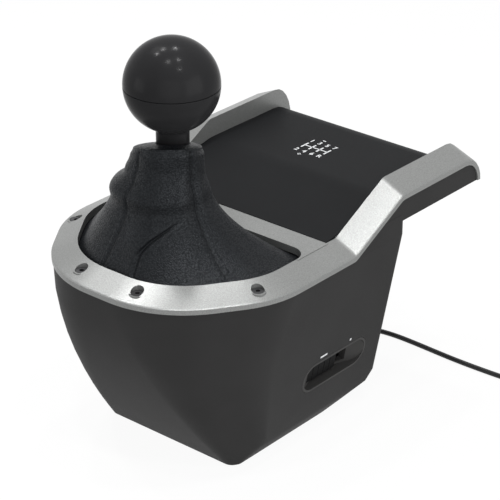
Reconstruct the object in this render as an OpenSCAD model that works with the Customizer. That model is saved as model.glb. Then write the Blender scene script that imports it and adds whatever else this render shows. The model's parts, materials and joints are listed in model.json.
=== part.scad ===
// Desk gear shifter with an H gate: moulded body with a rear overhang, silver bezel,
// leather boot, gimbal lever with ball knob, mode switch and USB lead.
// X is the driver's right, Y points away from the driver, Z is up, the table is Z = 0.

/* [Body] */
// Width over the bezel
bezel_w = 151; // [146:1:156]
// Length from the front of the bezel to the back of the arms
bezel_l = 230; // [224:1:238]
// Height of the bezel's inner edge above the table
ring_z = 118; // [116:0.5:122]
// Wall of the moulded shell
wall = 3; // [2.4:0.2:3.6]
// Draft of the side walls in degrees
draft = 10.8; // [9:0.2:12]
// Half width of the bottom edge
base_half = 45.4; // [44:0.2:48]
// Height of the bevel along the bottom edge
bevel_h = 14; // [12:0.5:16]
// Bottom front edge, behind the front of the bezel
base_setback = 53; // [50:0.5:55]
// Curvature of the front wall, 1 is straight
front_curve = 1.6; // [1.3:0.05:1.8]
// Rear wall of the body, behind the front of the bezel
rear_wall_d = 161.5; // [159:0.5:164]
// Height of the bevel under the rear wall
rear_bevel_h = 19.5; // [16:0.5:22]
// Length of the bevel under the rear wall
rear_bevel_l = 31; // [26:1:34]

/* [Bezel] */
// Plan width of the silver band
band_w = 14; // [12.5:0.5:15]
// Drop of the band from its inner to its outer edge
band_drop = 5.9; // [5:0.1:6.5]
// Drop from the inner edge to the bottom of the lip
lip_drop = 9.3; // [8.8:0.1:10]
// Skin of the band and its walls
skin = 2.5; // [2:0.1:3]
// Half width of the flat front
front_half = 39; // [36:0.5:42]
// Start of the angled front corner, behind the front of the bezel
corner_d = 53; // [49:0.5:57]
// Plan radius of the front corners
corner_r = 60; // [52:1:64]
// Plan radius where the corners meet the sides
side_r = 55; // [46:1:60]
// Rear bar of the opening, behind the front of the bezel
bar_d = 94.5; // [92:0.5:97]
// Width of the rear bar
bar_w = 14.5; // [13:0.5:16]
// Rise of the arms above the ring
arm_rise = 21; // [19:0.5:23]
// Foot of the arms, behind the front of the bezel
arm_foot_d = 116.7; // [114:0.5:119]
// Top of the arms' slope, behind the front of the bezel
arm_top_d = 157.1; // [154:0.5:160]
// Length of the round at the arms' ends
arm_round = 15; // [13:0.5:16]
// Underside of the overhang above the table
under_z = 117; // [115:0.5:118]
// Rise of the top panel's slope
panel_rise = 9.7; // [8.5:0.1:10.5]
// Thickness of the top panel
panel_t = 2.5; // [2:0.1:3]

/* [Lever] */
// Lever axis, behind the front of the bezel
lever_d = 59; // [57:0.5:61]
// Height of the gimbal above the table
pivot_z = 88; // [86:0.5:90]
// Height of the knob's centre
knob_z = 206.4; // [200:0.2:212]
// Radius of the ball knob
knob_r = 25; // [23:0.5:27]
// Diameter of the sleeve under the knob
neck_d = 17.3; // [16:0.1:18]
// Diameter of the lever
shaft_d = 10; // [9:0.5:10]
// Diameter of the gimbal pins
pin_d = 6; // [5:0.5:6.5]
// Travel of the shift to each side in degrees
shift_deg = 12; // [10:0.5:13]
// Angle between gear columns in degrees
column_deg = 10; // [9.5:0.5:10.5]

/* [Gate] */
// Mean radius of the gate around the select axis
gate_r = 47; // [46:0.5:48]
// Thickness of the gate plate
gate_t = 2; // [1.6:0.2:2.4]
// Diameter of the pin that runs in the gate
gate_pin_d = 5; // [4.4:0.2:5.2]
// Room on each side of the pin in its slots
slot_gap = 0.45; // [0.4:0.05:0.6]

/* [Boot] */
// Height of the boot's top
boot_top_z = 174; // [171:0.5:176]
// Radius of the boot at its top shoulder
boot_top_r = 16.8; // [16:0.2:18]
// Thickness of the leather
leather = 1.4; // [1:0.1:1.8]
// Panels that the boot is sewn from
boot_panels = 6; // [5:1:8]
// Depth of the boot's fold
fold = 4; // [3:0.2:5]

/* [Mode switch] */
// Middle of the switch, behind the front of the bezel
switch_d = 117.5; // [115:0.5:120]
// Height of the switch
switch_z = 41.5; // [41:0.5:43.5]
// Length of the finger scoop
scoop_l = 55; // [52:0.5:57]
// Height of the finger scoop
scoop_h = 19; // [18:0.5:20]
// Depth of the finger scoop
scoop_deep = 7; // [6:0.2:8]
// Travel of the slider
slider_travel = 10; // [9:0.5:11]

/* [Base and fits] */
// Height of the rubber feet under the shell
foot_h = 0.8; // [0.6:0.1:1.2]
// Thickness of the base plate
base_t = 3; // [2.5:0.1:3.5]
// Spacing of the mounting holes across
mount_x = 40; // [36:1:44]
// Spacing of the mounting holes along
mount_y = 30; // [26:1:32]
// Radius of the mounting inserts' bore
mount_bore_r = 2.5; // [2:0.1:2.6]
// Gap between pieces that are seated
seat = 0.2; // [0.15:0.05:0.3]
// Radial clearance of the running fits
run_fit = 0.03; // [0.02:0.01:0.06]
// Diameter of the lead
cord_d = 3; // [3:0.1:3.2]

/* [Hidden] */
$fn = 48;
eps = 0.01;

front_y = -bezel_l / 2;
rear_y = bezel_l / 2;
half_w = bezel_w / 2;
lip_over = 0.7;
rim_z = ring_z - lip_drop;
rim_half = half_w - lip_over;
rear_wall_y = front_y + rear_wall_d;
bar_y = front_y + bar_d;
arm_foot_y = front_y + arm_foot_d;
arm_top_y = front_y + arm_top_d;
arm_end_y = rear_y - arm_round;
panel_foot_y = bar_y + bar_w;
lever_y = front_y + lever_d;
diag_k = corner_d / (half_w - front_half);

// Ramp from 0 to rise between two places along Y, with parabolic bends of half length b.
panel_bend = 5;
arm_bend = 1.5;
function ramp(y, y0, y1, rise, b) =
    let (s = rise / (y1 - y0))
    y < y0 - b ? 0 :
    y < y0 + b ? s * pow(y - y0 + b, 2) / (4 * b) :
    y < y1 - b ? s * (y - y0) :
    y < y1 + b ? rise - s * pow(y1 + b - y, 2) / (4 * b) : rise;
function edge_line(y) = ring_z + ramp(y, arm_foot_y, arm_top_y, arm_rise, arm_bend);
function lip_line(y) = edge_line(y) - lip_drop;
function panel_line(y) = ring_z + ramp(y, panel_foot_y, arm_top_y, panel_rise, panel_bend);

// Outline tools. A path runs clockwise seen from above; a station is [x, y, normal x, normal y].
function unit(v) = v / norm(v);
function left_of(d) = [-d[1], d[0]];
function corner(p0, p1, p2, r, n) =
    let (d1 = unit(p1 - p0), d2 = unit(p2 - p1),
         turn = atan2(d1[0] * d2[1] - d1[1] * d2[0], d1 * d2),
         n1 = left_of(d1),
         middle = p1 - d1 * r * tan(abs(turn) / 2) - n1 * r,
         a1 = atan2(n1[1], n1[0]))
    [for (i = [0:n]) let (a = a1 + turn * i / n, q = [cos(a), sin(a)])
        [middle[0] + r * q[0], middle[1] + r * q[1], q[0], q[1]]];
function rounded(pts, radii, n) =
    let (m = len(pts))
    [for (i = [0:m - 1]) each corner(pts[(i + m - 1) % m], pts[i], pts[(i + 1) % m], radii[i], n)];
function inset(stations, d) = [for (s = stations) [s[0] - d * s[2], s[1] - d * s[3]]];
function mirrored(right) =
    concat(right, [for (i = [len(right) - 1:-1:0]) [-right[i][0], right[i][1]]]);

// Solid between rings of equal length, stacked upwards.
module loft(rings) {
    n = len(rings[0]);
    m = len(rings);
    polyhedron(
        points = [for (r = rings) each r],
        faces = concat(
            [[for (i = [n - 1:-1:0]) i]],
            [for (j = [0:m - 2]) for (i = [0:n - 1]) let (k = (i + 1) % n)
                each [[j * n + i, j * n + k, (j + 1) * n + k],
                      [j * n + i, (j + 1) * n + k, (j + 1) * n + i]]],
            [[for (i = [0:n - 1]) (m - 1) * n + i]]));
}

// Tube of one radius along points, its ends square.
function frame_at(path, i) =
    let (m = len(path) - 1, t = unit(path[min(i + 1, m)] - path[max(i - 1, 0)]),
         side = unit(cross(t, [0, 0, 1])))
    [side, cross(side, t)];
module tube(path, r, sides) {
    m = len(path);
    rings = [for (i = [0:m - 1]) let (f = frame_at(path, i))
        [for (k = [0:sides - 1]) let (a = 360 * (k + 0.5) / sides)
            path[i] + r * (cos(a) * f[0] + sin(a) * f[1])]];
    loft(rings);
}

// Body levels: half width, front, rear and the angled corner at height z.
function lerp(a, b, t) = a + (b - a) * t;
function smooth(x) = let (t = max(0, min(1, x))) t * t * (3 - 2 * t);
function body_half(z) =
    let (bevel_half = rim_half - (rim_z - bevel_h) * tan(draft))
    z >= rim_z ? rim_half :
    z >= bevel_h ? rim_half - (rim_z - z) * tan(draft) : lerp(base_half, bevel_half, z / bevel_h);
function body_front(z) =
    front_y + lip_over + (base_setback - lip_over) * pow(1 - min(z, rim_z) / rim_z, front_curve);
function body_rear(z) = rear_wall_y - rear_bevel_l * pow(max(0, 1 - z / rear_bevel_h), 1.5);
base_corner = 2.5;
base_r = 5;
function body_outline(z) =
    let (t = min(1, z / rim_z), w = body_half(z), f = body_front(z), r = body_rear(z),
         c = lerp(base_half - base_corner, front_half - lip_over / 2, t),
         b = f + (w - c) * diag_k,
         rc = lerp(base_r, corner_r - lip_over, t), rb = lerp(base_r, side_r - lip_over, t))
    rounded([[w, r], [w, b], [c, f], [-c, f], [-w, b], [-w, r]], [5, rb, rc, rc, rb, 5], 8);
body_top = under_z + wall + 1;
body_levels = [foot_h, 6, bevel_h, rear_bevel_h, 28, 40, 53, 66, 79, 92, rim_z, body_top];
module body_solid(d, drop) {
    loft([for (z = body_levels) [for (p = inset(body_outline(z), d))
        [p[0], p[1], z == foot_h ? z - drop : z == body_top ? z + drop : z]]]);
}

// Side view of the arms' end: quarter ellipse of half lengths a and b about the end of the flat.
end_steps = 6;
function arm_end(a, top) =
    [for (i = [0:end_steps]) let (q = 90 * i / end_steps)
        [arm_end_y + a * sin(q), under_z + (top - under_z) * cos(q)]];
bend_marks = [for (i = [2:-1:-2]) arm_bend * i / 2];
arm_marks = concat([for (m = bend_marks) arm_top_y + m], [for (m = bend_marks) arm_foot_y + m]);
end_inset = skin + 0.4;
module side_slab(pts, w) {
    translate([-w / 2, 0, 0])
        rotate([90, 0, 90])
            linear_extrude(w) polygon(pts);
}
rear_lip_z = lip_line(rear_y) - seat;
side_step = 0.1;
// Where the lip's line rises past the overhang's underside.
overhang_start = arm_foot_y + (under_z - rim_z) / arm_rise * (arm_top_y - arm_foot_y);
module overhang() {
    round_end = arm_end(arm_round - end_inset - seat, rear_lip_z);
    side_slab(concat([[overhang_start, under_z]], [for (i = [end_steps:-1:0]) round_end[i]],
        [[overhang_start, rear_lip_z]]), 2 * (rim_half - side_step));
}
floor_end_y = rear_y - 6.3;
module overhang_room() {
    room_w = 2 * (rim_half - wall);
    translate([-room_w / 2, overhang_start - 1, under_z + wall])
        cube([room_w, bezel_l / 2, 2 * arm_rise]);
    translate([-room_w / 2, floor_end_y, under_z - 1]) cube([room_w, bezel_l / 2, 2 * arm_rise]);
}
lip_marks = [for (i = [len(arm_marks) - 1:-1:0]) [arm_marks[i], lip_line(arm_marks[i]) - seat]];
module lip_cut() {
    high = ring_z + 2 * arm_rise;
    past = 5;
    side_slab(concat([[front_y - past, rim_z - seat]], lip_marks,
        [[rear_y + past, rear_lip_z], [rear_y + past, high], [front_y - past, high]]), bezel_w + 4 * past);
}

// Screw places.
screw_d = 3.3;
head_d = 6.4;
head_h = 2.2;
head_bore_d = head_d + 0.4;
floor_boss_h = 3;
boss_d = 9;
screw_in = 9.5;
bezel_screw_at = mirrored([[half_w - 11.5, front_y + 50.5], [19.5, front_y + screw_in]]);
boss_top = rim_z - seat;
boss_l = 34;
thread_l = 20;
bore_d = screw_d + 0.4;
chassis_z = 30;
chassis_t = 3;
chassis_top = chassis_z + chassis_t;
chassis_half = body_half(chassis_z) - wall - 1.8;
wall_boss_x = chassis_half - 7;
wall_boss_at = mirrored([[wall_boss_x, lever_y + 16], [wall_boss_x, lever_y + 56]]);
post_x = base_half - 9.4;
post_at = mirrored([[post_x, lever_y + 29], [post_x, lever_y + 43]]);
panel_screw_x = half_w - band_w - 11.5;
panel_screw_at = mirrored([[panel_screw_x, rear_y - 45], [panel_screw_x, rear_y - 20]]);
relief_z = 30;
relief_d = 8;
module at_each(places, z) {
    for (p = places) translate([p[0], p[1], z]) children();
}
module screw(l) {
    cylinder(d = head_d, h = head_h);
    translate([0, 0, -l]) cylinder(d = screw_d, h = l + eps);
}

// Frame of the switch: origin on the right wall, local X outwards.
switch_y = front_y + switch_d;
module at_switch() {
    translate([body_half(switch_z), switch_y, switch_z]) rotate([0, draft, 0]) children();
}
module stadium(l, h, x0, x1) {
    r = h / 2;
    translate([x0, 0, 0]) rotate([90, 0, 90]) linear_extrude(x1 - x0) {
        square([l - h, h], center = true);
        for (s = [-1, 1]) translate([s * (l - h) / 2, 0]) circle(r);
    }
}

wall_boss_d = 11;
wall_boss_z = bevel_h - 4;
module main_shell() {
    color([0.21, 0.21, 0.22]) difference() {
        union() {
            body_solid(0, 0);
            overhang();
        }
        difference() {
            union() {
                body_solid(wall, 5);
                overhang_room();
            }
            at_each(bezel_screw_at, rim_z - boss_l) cylinder(d = boss_d + 2, h = boss_l);
            at_each(wall_boss_at, wall_boss_z) cylinder(d = wall_boss_d, h = chassis_z - wall_boss_z);
            at_each(panel_screw_at, under_z) cylinder(d = wall_boss_d, h = wall + floor_boss_h);
        }
        lip_cut();
        at_each(bezel_screw_at, rim_z - thread_l) cylinder(d = screw_d, h = 2 * thread_l);
        at_each(wall_boss_at, chassis_z - 12) cylinder(d = screw_d, h = thread_l);
        at_each(panel_screw_at, under_z - 1) {
            cylinder(d = bore_d, h = 10);
            cylinder(d = head_bore_d, h = 1 + head_h + seat);
        }
        at_switch() stadium(scoop_l, scoop_h, -20, 10);
        translate([0, rear_wall_y, relief_z]) rotate([90, 0, 0])
            cylinder(d = relief_d, h = 30, center = true);
    }
}

// Base: plate, feet, inserts and screws.
foot_d = 12;
foot_sink = 0.6;
foot_x = base_half - 21.4;
foot_at = mirrored([[foot_x, front_y + base_setback + 10], [foot_x, lever_y + 59]]);
mount_mid_y = lever_y + 33;
mount_at = [for (x = [-1, 1], y = [-1, 1]) [x * mount_x / 2, mount_mid_y + y * mount_y / 2]];
insert_d = 9;
insert_l = 8;
base_top = foot_h + base_t;
module base_plate() {
    color([0.13, 0.13, 0.14]) difference() {
        union() {
            translate([0, 0, foot_h])
                linear_extrude(base_t) polygon(inset(body_outline(foot_h), wall + seat));
            at_each(mount_at, base_top - eps) cylinder(d = insert_d + 5, h = insert_l - base_t + 1);
        }
        at_each(mount_at, foot_h - 1) cylinder(d = insert_d, h = insert_l + 1);
        at_each(foot_at, foot_h - 1) cylinder(d = foot_d + 2 * seat, h = 1 + foot_sink);
        at_each(post_at, foot_h - 1) {
            cylinder(d = bore_d, h = 10);
            cylinder(d = head_bore_d, h = 1 + base_t / 2);
        }
    }
}
module rubber_feet() {
    color([0.08, 0.08, 0.08]) at_each(foot_at, 0) cylinder(d = foot_d, h = foot_h + foot_sink);
}
module mount_inserts() {
    color([0.75, 0.6, 0.3]) at_each(mount_at, foot_h) difference() {
        cylinder(d = insert_d, h = insert_l);
        translate([0, 0, -1]) cylinder(r = mount_bore_r, h = insert_l + 2);
    }
}
module base_screws() {
    color([0.2, 0.2, 0.2]) at_each(post_at, foot_h + base_t / 2) mirror([0, 0, 1]) difference() {
        intersection() {
            screw(12);
            translate([0, 0, -20]) cylinder(d = head_d, h = 20 + base_t / 2 - 0.3);
        }
        translate([0, 0, base_t / 2 - 1]) cylinder(d = 2.5, h = 5, $fn = 6);
    }
}

// Bezel: band, lip and inner wall swept round the ring and back along both arms.
ring_poly = [[half_w, bar_y + band_w], [half_w, front_y + corner_d], [front_half, front_y],
             [-front_half, front_y], [-half_w, front_y + corner_d], [-half_w, bar_y + band_w]];
function right_side(y) = [half_w, y, 1, 0];
bezel_path = let (
    right = concat([for (y = arm_marks) right_side(y)],
        corner(ring_poly[0], ring_poly[1], ring_poly[2], side_r, 8),
        corner(ring_poly[1], ring_poly[2], ring_poly[3], corner_r, 12)))
    concat(right, [for (i = [len(right) - 1:-1:0]) let (s = right[i]) [-s[0], s[1], -s[2], s[3]]]);
edge_break = 0.8;
lip_t = 2.6;
function wall_low(y) = min(edge_line(y) - 4.5, panel_line(y) - panel_t - 0.5);
// Rails of the section: [inset, height, run of the end round].
function rails(y) =
    let (h = edge_line(y), d = band_drop, fall = band_drop / band_w)
    [[band_w, h, arm_round], [edge_break, h - d, arm_round], [0, h - d - edge_break, arm_round - 0.4],
     [0, h - lip_drop, arm_round - end_inset], [lip_t, h - lip_drop, arm_round - end_inset],
     [lip_t, h - d - skin + 0.6, arm_round - skin], [band_w - skin, h - skin - skin * fall, arm_round - skin],
     [band_w - skin, wall_low(y), arm_round - 2 * skin], [band_w, wall_low(y), arm_round - 2 * skin]];
function section(s) = [for (r = rails(s[1])) [s[0] - r[0] * s[2], s[1] - r[0] * s[3], r[1]]];
function end_section(side, q) =
    [for (r = rails(rear_y)) [side * (half_w - r[0]), arm_end_y + r[2] * sin(q),
        under_z + (r[1] - under_z) * cos(q)]];
bezel_rings = concat(
    [for (i = [end_steps:-1:0]) end_section(1, 90 * i / end_steps)],
    [for (s = bezel_path) section(s)],
    [for (i = [0:end_steps]) end_section(-1, 90 * i / end_steps)]);
opening_r = 10;
cap_d = 7;
ledge_back = 5;
ledge_t = 3;
module bezel_frame() {
    color([0.68, 0.69, 0.7]) difference() {
        union() {
            loft(bezel_rings);
            translate([0, 0, ring_z - 4]) linear_extrude(4) difference() {
                translate([-half_w + band_w - 1, bar_y - opening_r])
                    square([bezel_w - 2 * band_w + 2, bar_w + opening_r]);
                opening_rear();
            }
            translate([-half_w + band_w - 1, bar_y + ledge_back, ring_z - panel_t - seat - ledge_t])
                cube([bezel_w - 2 * band_w + 2, bar_w + 4 - ledge_back, ledge_t]);
            at_each(bezel_screw_at, boss_top + seat) cylinder(d = boss_d, h = ring_z - boss_top - 4);
        }
        at_each(bezel_screw_at, boss_top - 1) cylinder(d = bore_d, h = 20);
        at_each(bezel_screw_at, ring_z - 6) cylinder(d = cap_d, h = 20);
    }
}
module opening_rear() {
    w = half_w - band_w;
    translate([-w + opening_r, bar_y - 3 * opening_r]) square([2 * (w - opening_r), 3 * opening_r]);
    translate([-w, bar_y - 3 * opening_r]) square([2 * w, 2 * opening_r]);
    for (s = [-1, 1]) translate([s * (w - opening_r), bar_y - opening_r]) circle(opening_r);
}
module bezel_screws() {
    color([0.16, 0.16, 0.17]) at_each(bezel_screw_at, ring_z - 6) difference() {
        screw(14);
        translate([0, 0, head_h - 1.2]) cylinder(d = 2.8, h = 5, $fn = 6);
    }
}

// Top panel: bent sheet between the arms, rolled down at the back, with two ribs on the overhang.
panel_half = half_w - band_w - seat;
panel_roll = 15;
panel_end_y = rear_y - 1.5;
function panel_curve(d) = concat(
    [[panel_foot_y + seat, panel_line(panel_foot_y) - d]],
    [for (y = concat([panel_foot_y + panel_bend], [for (i = [-2:2]) arm_top_y + panel_bend * i / 2]))
        [y, panel_line(y) - d]],
    [for (i = [0:8]) let (q = 90 * i / 8, top = panel_line(rear_y))
        [panel_end_y - panel_roll + (panel_roll - d) * sin(q),
         under_z + seat + (top - under_z - seat - d) * cos(q)]]);
module top_panel() {
    under = panel_curve(panel_t);
    outer = panel_curve(0);
    rib_low = under_z + wall + seat;
    boss_low = rib_low + floor_boss_h;
    color([0.1, 0.1, 0.11]) difference() {
        union() {
            side_slab(concat(outer, [for (i = [len(under) - 1:-1:0]) under[i]]), 2 * panel_half);
            for (s = [-1, 1]) translate([s * (panel_half - 22), 0, 0])
                translate([-1, rear_y - 50, rib_low])
                    cube([2, 28, panel_line(rear_y) - panel_t / 2 - rib_low]);
            at_each(panel_screw_at, boss_low)
                cylinder(d = boss_d, h = panel_line(rear_y) - panel_t / 2 - boss_low);
        }
        at_each(panel_screw_at, boss_low - 1) cylinder(d = screw_d, h = 4.5);
    }
}
module panel_screws() {
    color([0.16, 0.16, 0.17])
        at_each(panel_screw_at, under_z + head_h + seat) mirror([0, 0, 1]) difference() {
        screw(6.5);
        translate([0, 0, head_h - 1.2]) cylinder(d = 2.8, h = 5, $fn = 6);
    }
}

// Boot: reaches the opening's outline, is drawn up to the collar, with a fold and sewn panels.
rear_r = band_w + opening_r;
ring_stations = rounded(ring_poly, [rear_r, side_r, corner_r, corner_r, side_r, rear_r], 8);
opening_lines = [for (s = ring_stations)
    [s[2], s[3], s[2] * s[0] + s[3] * (s[1] - lever_y) - band_w]];
function sum(v, i = 0) = i == len(v) ? 0 : v[i] + sum(v, i + 1);
function opening_at(a) =
    1 / max([for (e = opening_lines) (e[0] * cos(a) + e[1] * sin(a)) / e[2]]);
hem_z = ring_z - 4.5 - seat;
seam_at = 225;
crown_drop = 2.3;
function boot_fall(u) = lerp(boot_top_z - crown_drop, hem_z, u);
shoulder = 1;
lean = 1.8;
fold_from = 40;
function boot_radius(a, u) =
    let (back = cos(a - fold_from),
         out = boot_top_r - lean * back + shoulder * smooth(u / 0.06))
    out + (opening_at(a) - 0.6 - out) * pow(u, 2.1 + 0.8 * back)
    + fold * exp(-pow((u - 0.35) / 0.09, 2)) * (0.6 - 0.4 * back)
    - 1.2 * pow(abs(cos(boot_panels / 2 * (a - seam_at))), 12) * sin(180 * min(1, u * 1.1));
boot_steps = [0, 0.03, 0.06, 0.14, 0.22, 0.28, 0.34, 0.42, 0.54, 0.7, 0.86, 1];
boot_sides = 44;
function boot_ring(u, d, z) =
    [for (i = [boot_sides - 1:-1:0]) let (a = 360 * i / boot_sides, r = boot_radius(a, u) - d)
        [r * cos(a), lever_y + r * sin(a), z]];
hem_w = 3;
module shift_boot() {
    inner = [for (u = boot_steps) boot_ring(u, leather, boot_fall(u) - leather * (1 - u))];
    outer = [for (i = [len(boot_steps) - 1:-1:0]) boot_ring(boot_steps[i], 0, boot_fall(boot_steps[i]))];
    neck_ring = [for (z = [boot_top_z, boot_top_z - leather]) [for (i = [boot_sides - 1:-1:0])
        let (a = 360 * i / boot_sides, r = neck_d / 2 + seat) [r * cos(a), lever_y + r * sin(a), z]]];
    color([0.13, 0.13, 0.14]) difference() {
        loop_loft(concat([neck_ring[1]], inner,
            [boot_ring(1, -hem_w, hem_z - leather), boot_ring(1, -hem_w, hem_z)], outer, [neck_ring[0]]));
        at_each(bezel_screw_at, hem_z - leather - 1) cylinder(d = boss_d + 1, h = leather + 1.5);
    }
}
// Solid of rings joined in a closed loop, as a hollow sleeve.
module loop_loft(rings) {
    n = len(rings[0]);
    m = len(rings);
    polyhedron(
        points = [for (r = rings) each r],
        faces = [for (j = [0:m - 1]) for (i = [0:n - 1]) let (k = (i + 1) % n, l = (j + 1) % m)
            each [[j * n + i, j * n + k, l * n + k], [j * n + i, l * n + k, l * n + i]]]);
}
retainer_t = 2.5;
retainer_z = hem_z - leather - seat - retainer_t;
retainer_in = 6.4;
module boot_retainer() {
    color([0.15, 0.15, 0.16]) translate([0, 0, retainer_z]) difference() {
        linear_extrude(retainer_t) difference() {
            polygon(inset(ring_stations, retainer_in));
            polygon(inset(ring_stations, band_w + hem_w));
        }
        at_each(bezel_screw_at, -1) cylinder(d = boss_d + 1, h = 10);
    }
}

// Chassis: plate on four wall bosses and four posts, U bracket for the gimbal, gate on posts.
module chassis_plate() {
    color([0.45, 0.46, 0.48]) translate([0, 0, chassis_z]) difference() {
        translate([0, lever_y]) linear_extrude(chassis_t) polygon(mirrored([[board_half + 2, 88],
            [chassis_half - 13, 66], [chassis_half, 64], [chassis_half, 8], [chassis_half - 13, 0],
            [bracket_half + 10, -22]]));
        at_each(concat(wall_boss_at, post_at), -1) cylinder(d = bore_d, h = 10);
        at_each(gate_post_at, -1) cylinder(d = screw_d, h = 10);
        at_each(bracket_screw_at, -1) cylinder(d = screw_d, h = 10);
        at_each(board_post_at, -1) cylinder(d = 2.4, h = 10);
    }
}
module chassis_posts() {
    color([0.7, 0.7, 0.72]) at_each(post_at, base_top) difference() {
        cylinder(d = 8, h = chassis_z - base_top);
        translate([0, 0, -1]) cylinder(d = screw_d, h = chassis_z);
    }
}
module chassis_screws() {
    color([0.2, 0.2, 0.2]) at_each(concat(wall_boss_at, post_at), chassis_top) screw(9);
}
bracket_half = 14;
bracket_t = 3;
upright_y = 19;
bush_d = pin_d + 4;
bush_flange = 1.2;
bracket_screw_at = [for (x = [-1, 1], y = [-1, 1]) [x * 9, lever_y + y * 11]];
peg_d = 4;
peg_l = 8.5;
fixed_peg = 17;
moving_peg = 12;
module at_pivot() {
    translate([0, lever_y, pivot_z]) children();
}
module along_y(y0, y1) {
    translate([0, y0, 0]) rotate([-90, 0, 0]) linear_extrude(y1 - y0) children();
}
module pivot_bracket() {
    low = pivot_z - chassis_top;
    color([0.5, 0.51, 0.53]) at_pivot() difference() {
        union() {
            translate([-bracket_half, -upright_y - bracket_t, -low])
                cube([2 * bracket_half, 2 * (upright_y + bracket_t), bracket_t]);
            for (y = [-upright_y - bracket_t, upright_y]) along_y(y, y + bracket_t) {
                circle(d = bush_d + 10);
                polygon([[-bush_d / 2 - 5, 0], [bush_d / 2 + 5, 0],
                         [bracket_half, low], [-bracket_half, low]]);
            }
            translate([0, 0, -fixed_peg])
                along_y(-upright_y - bracket_t - peg_l, -upright_y - bracket_t + eps) circle(d = peg_d);
        }
        along_y(-30, 30) circle(d = bush_d);
        translate([0, -lever_y, -low]) at_each(bracket_screw_at, -1) cylinder(d = bore_d, h = 10);
    }
}
module bracket_screws() {
    color([0.2, 0.2, 0.2]) at_each(bracket_screw_at, chassis_top + bracket_t) screw(6);
}
module bush(l, flange_side) {
    rotate_extrude() {
        translate([pin_d / 2 + run_fit, 0]) square([(bush_d - pin_d) / 2 - run_fit, l]);
        translate([pin_d / 2 + run_fit, flange_side > 0 ? l : -bush_flange])
            square([(bush_d - pin_d) / 2 - run_fit + 1.5, bush_flange]);
    }
}
module select_bushes() {
    color([0.72, 0.58, 0.32]) at_pivot() for (s = [0, 1]) mirror([0, s, 0])
        translate([0, upright_y, 0]) rotate([-90, 0, 0]) bush(bracket_t, -1);
}
flange_deg = 34;
flange_in = gate_r * sin(flange_deg);
gate_flange_z = pivot_z - gate_r * cos(flange_deg);
gate_half_y = upright_y - 1;
gate_post_x = flange_in + 8;
gate_post_at = [for (x = [-1, 1], y = [-1, 1]) [x * gate_post_x, lever_y + y * 12]];
columns = [-1, 0, 1, 2] * column_deg;
slot_w = gate_pin_d + 2 * slot_gap;
slot_half = (gate_r + gate_t / 2) * tan(shift_deg) + gate_pin_d / 2 / cos(shift_deg) + slot_gap;
module gate_posts() {
    l = gate_flange_z - gate_t / 2 - chassis_top;
    color([0.7, 0.7, 0.72]) at_each(gate_post_at, chassis_top) difference() {
        cylinder(d = 7, h = l, $fn = 6);
        translate([0, 0, -1]) cylinder(d = screw_d, h = l + 2);
    }
}
module gate_plate() {
    ro = gate_r + gate_t / 2;
    ri = gate_r - gate_t / 2;
    far = gate_post_x + 6;
    drop = pivot_z - gate_flange_z;
    arc_end = flange_deg + 0.6;
    color([0.62, 0.63, 0.65]) at_pivot() difference() {
        along_y(-gate_half_y, gate_half_y) {
            intersection() {
                difference() {
                    circle(ro, $fn = 128);
                    circle(ri, $fn = 128);
                }
                polygon([[0, 0], 2 * ro * [sin(arc_end), cos(arc_end)],
                         2 * ro * [-sin(arc_end), cos(arc_end)]]);
            }
            for (s = [-1, 1]) translate([s * (flange_in + far) / 2, drop])
                square([far - flange_in + 0.8, gate_t], center = true);
        }
        for (a = columns) rotate([0, a, 0])
            translate([-slot_w / 2, -slot_half, -gate_r - 5]) cube([slot_w, 2 * slot_half, 12]);
        along_y(-slot_w / 2, slot_w / 2) polygon(concat([[0, 0]], [for (a = [columns[0]:5:columns[3]])
            -1.3 * gate_r * [sin(a), -cos(a)]]));
        translate([0, -lever_y, -drop]) at_each(gate_post_at, -5) cylinder(d = bore_d, h = 10);
    }
}
module gate_screws() {
    color([0.2, 0.2, 0.2]) at_each(gate_post_at, gate_flange_z + gate_t / 2) screw(7);
}
// Centring spring: turns round the front pin, two legs that straddle both pegs.
wire_d = 1.4;
spring_r = pin_d / 2 + wire_d / 2 + 0.5;
spring_turns = 3;
module centring_spring() {
    leg = fixed_peg + 3;
    leg_x = peg_d / 2 + wire_d / 2 + seat;
    y0 = -upright_y - bracket_t - 1.5;
    pitch = wire_d + 0.45;
    sweep = 360 * spring_turns + 180;
    y1 = y0 - pitch * sweep / 360;
    steps = 12 * spring_turns + 6;
    coil = [for (i = [0:steps]) let (a = 180 - sweep * i / steps)
        [spring_r * cos(a), y0 - pitch * sweep / 360 * i / steps, spring_r * sin(a)]];
    color([0.6, 0.61, 0.63]) at_pivot() spring_tube(concat(
        [[-leg_x, y0, -leg], [-leg_x, y0, -spring_r - 3]], coil,
        [[leg_x, y1, -spring_r - 3], [leg_x, y1, -leg]]), wire_d / 2);
}
module spring_tube(path, r) {
    m = len(path);
    rings = [for (i = [0:m - 1]) let (t = unit(path[min(i + 1, m - 1)] - path[max(i - 1, 0)]),
        side = unit(cross(t, [0, 1, 0])), up = cross(side, t))
        [for (k = [0:5]) path[i] + r * (cos(60 * k) * side + sin(60 * k) * up)]];
    loft(rings);
}
sensor_gap = 1.5;
board_t = 1.6;
pin_rear = upright_y + bracket_t + 3;
magnet_l = 3;
module select_sensor() {
    y = pin_rear + magnet_l + sensor_gap;
    color([0.1, 0.35, 0.2]) at_pivot() {
        translate([-10, y, -12]) cube([20, board_t, 24]);
        for (x = [-8, 8]) translate([x, 0, -10]) along_y(upright_y + bracket_t, y + eps) circle(d = 4);
        translate([-3, y - 1, -3]) cube([6, 1 + eps, 6]);
    }
}
board_half = 34;
board_y0 = lever_y + 36;
board_y1 = board_y0 + 48;
board_z = chassis_top + 5;
board_post_at = mirrored([[board_half - 4, board_y0 + 4], [board_half - 4, board_y1 - 4]]);
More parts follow.
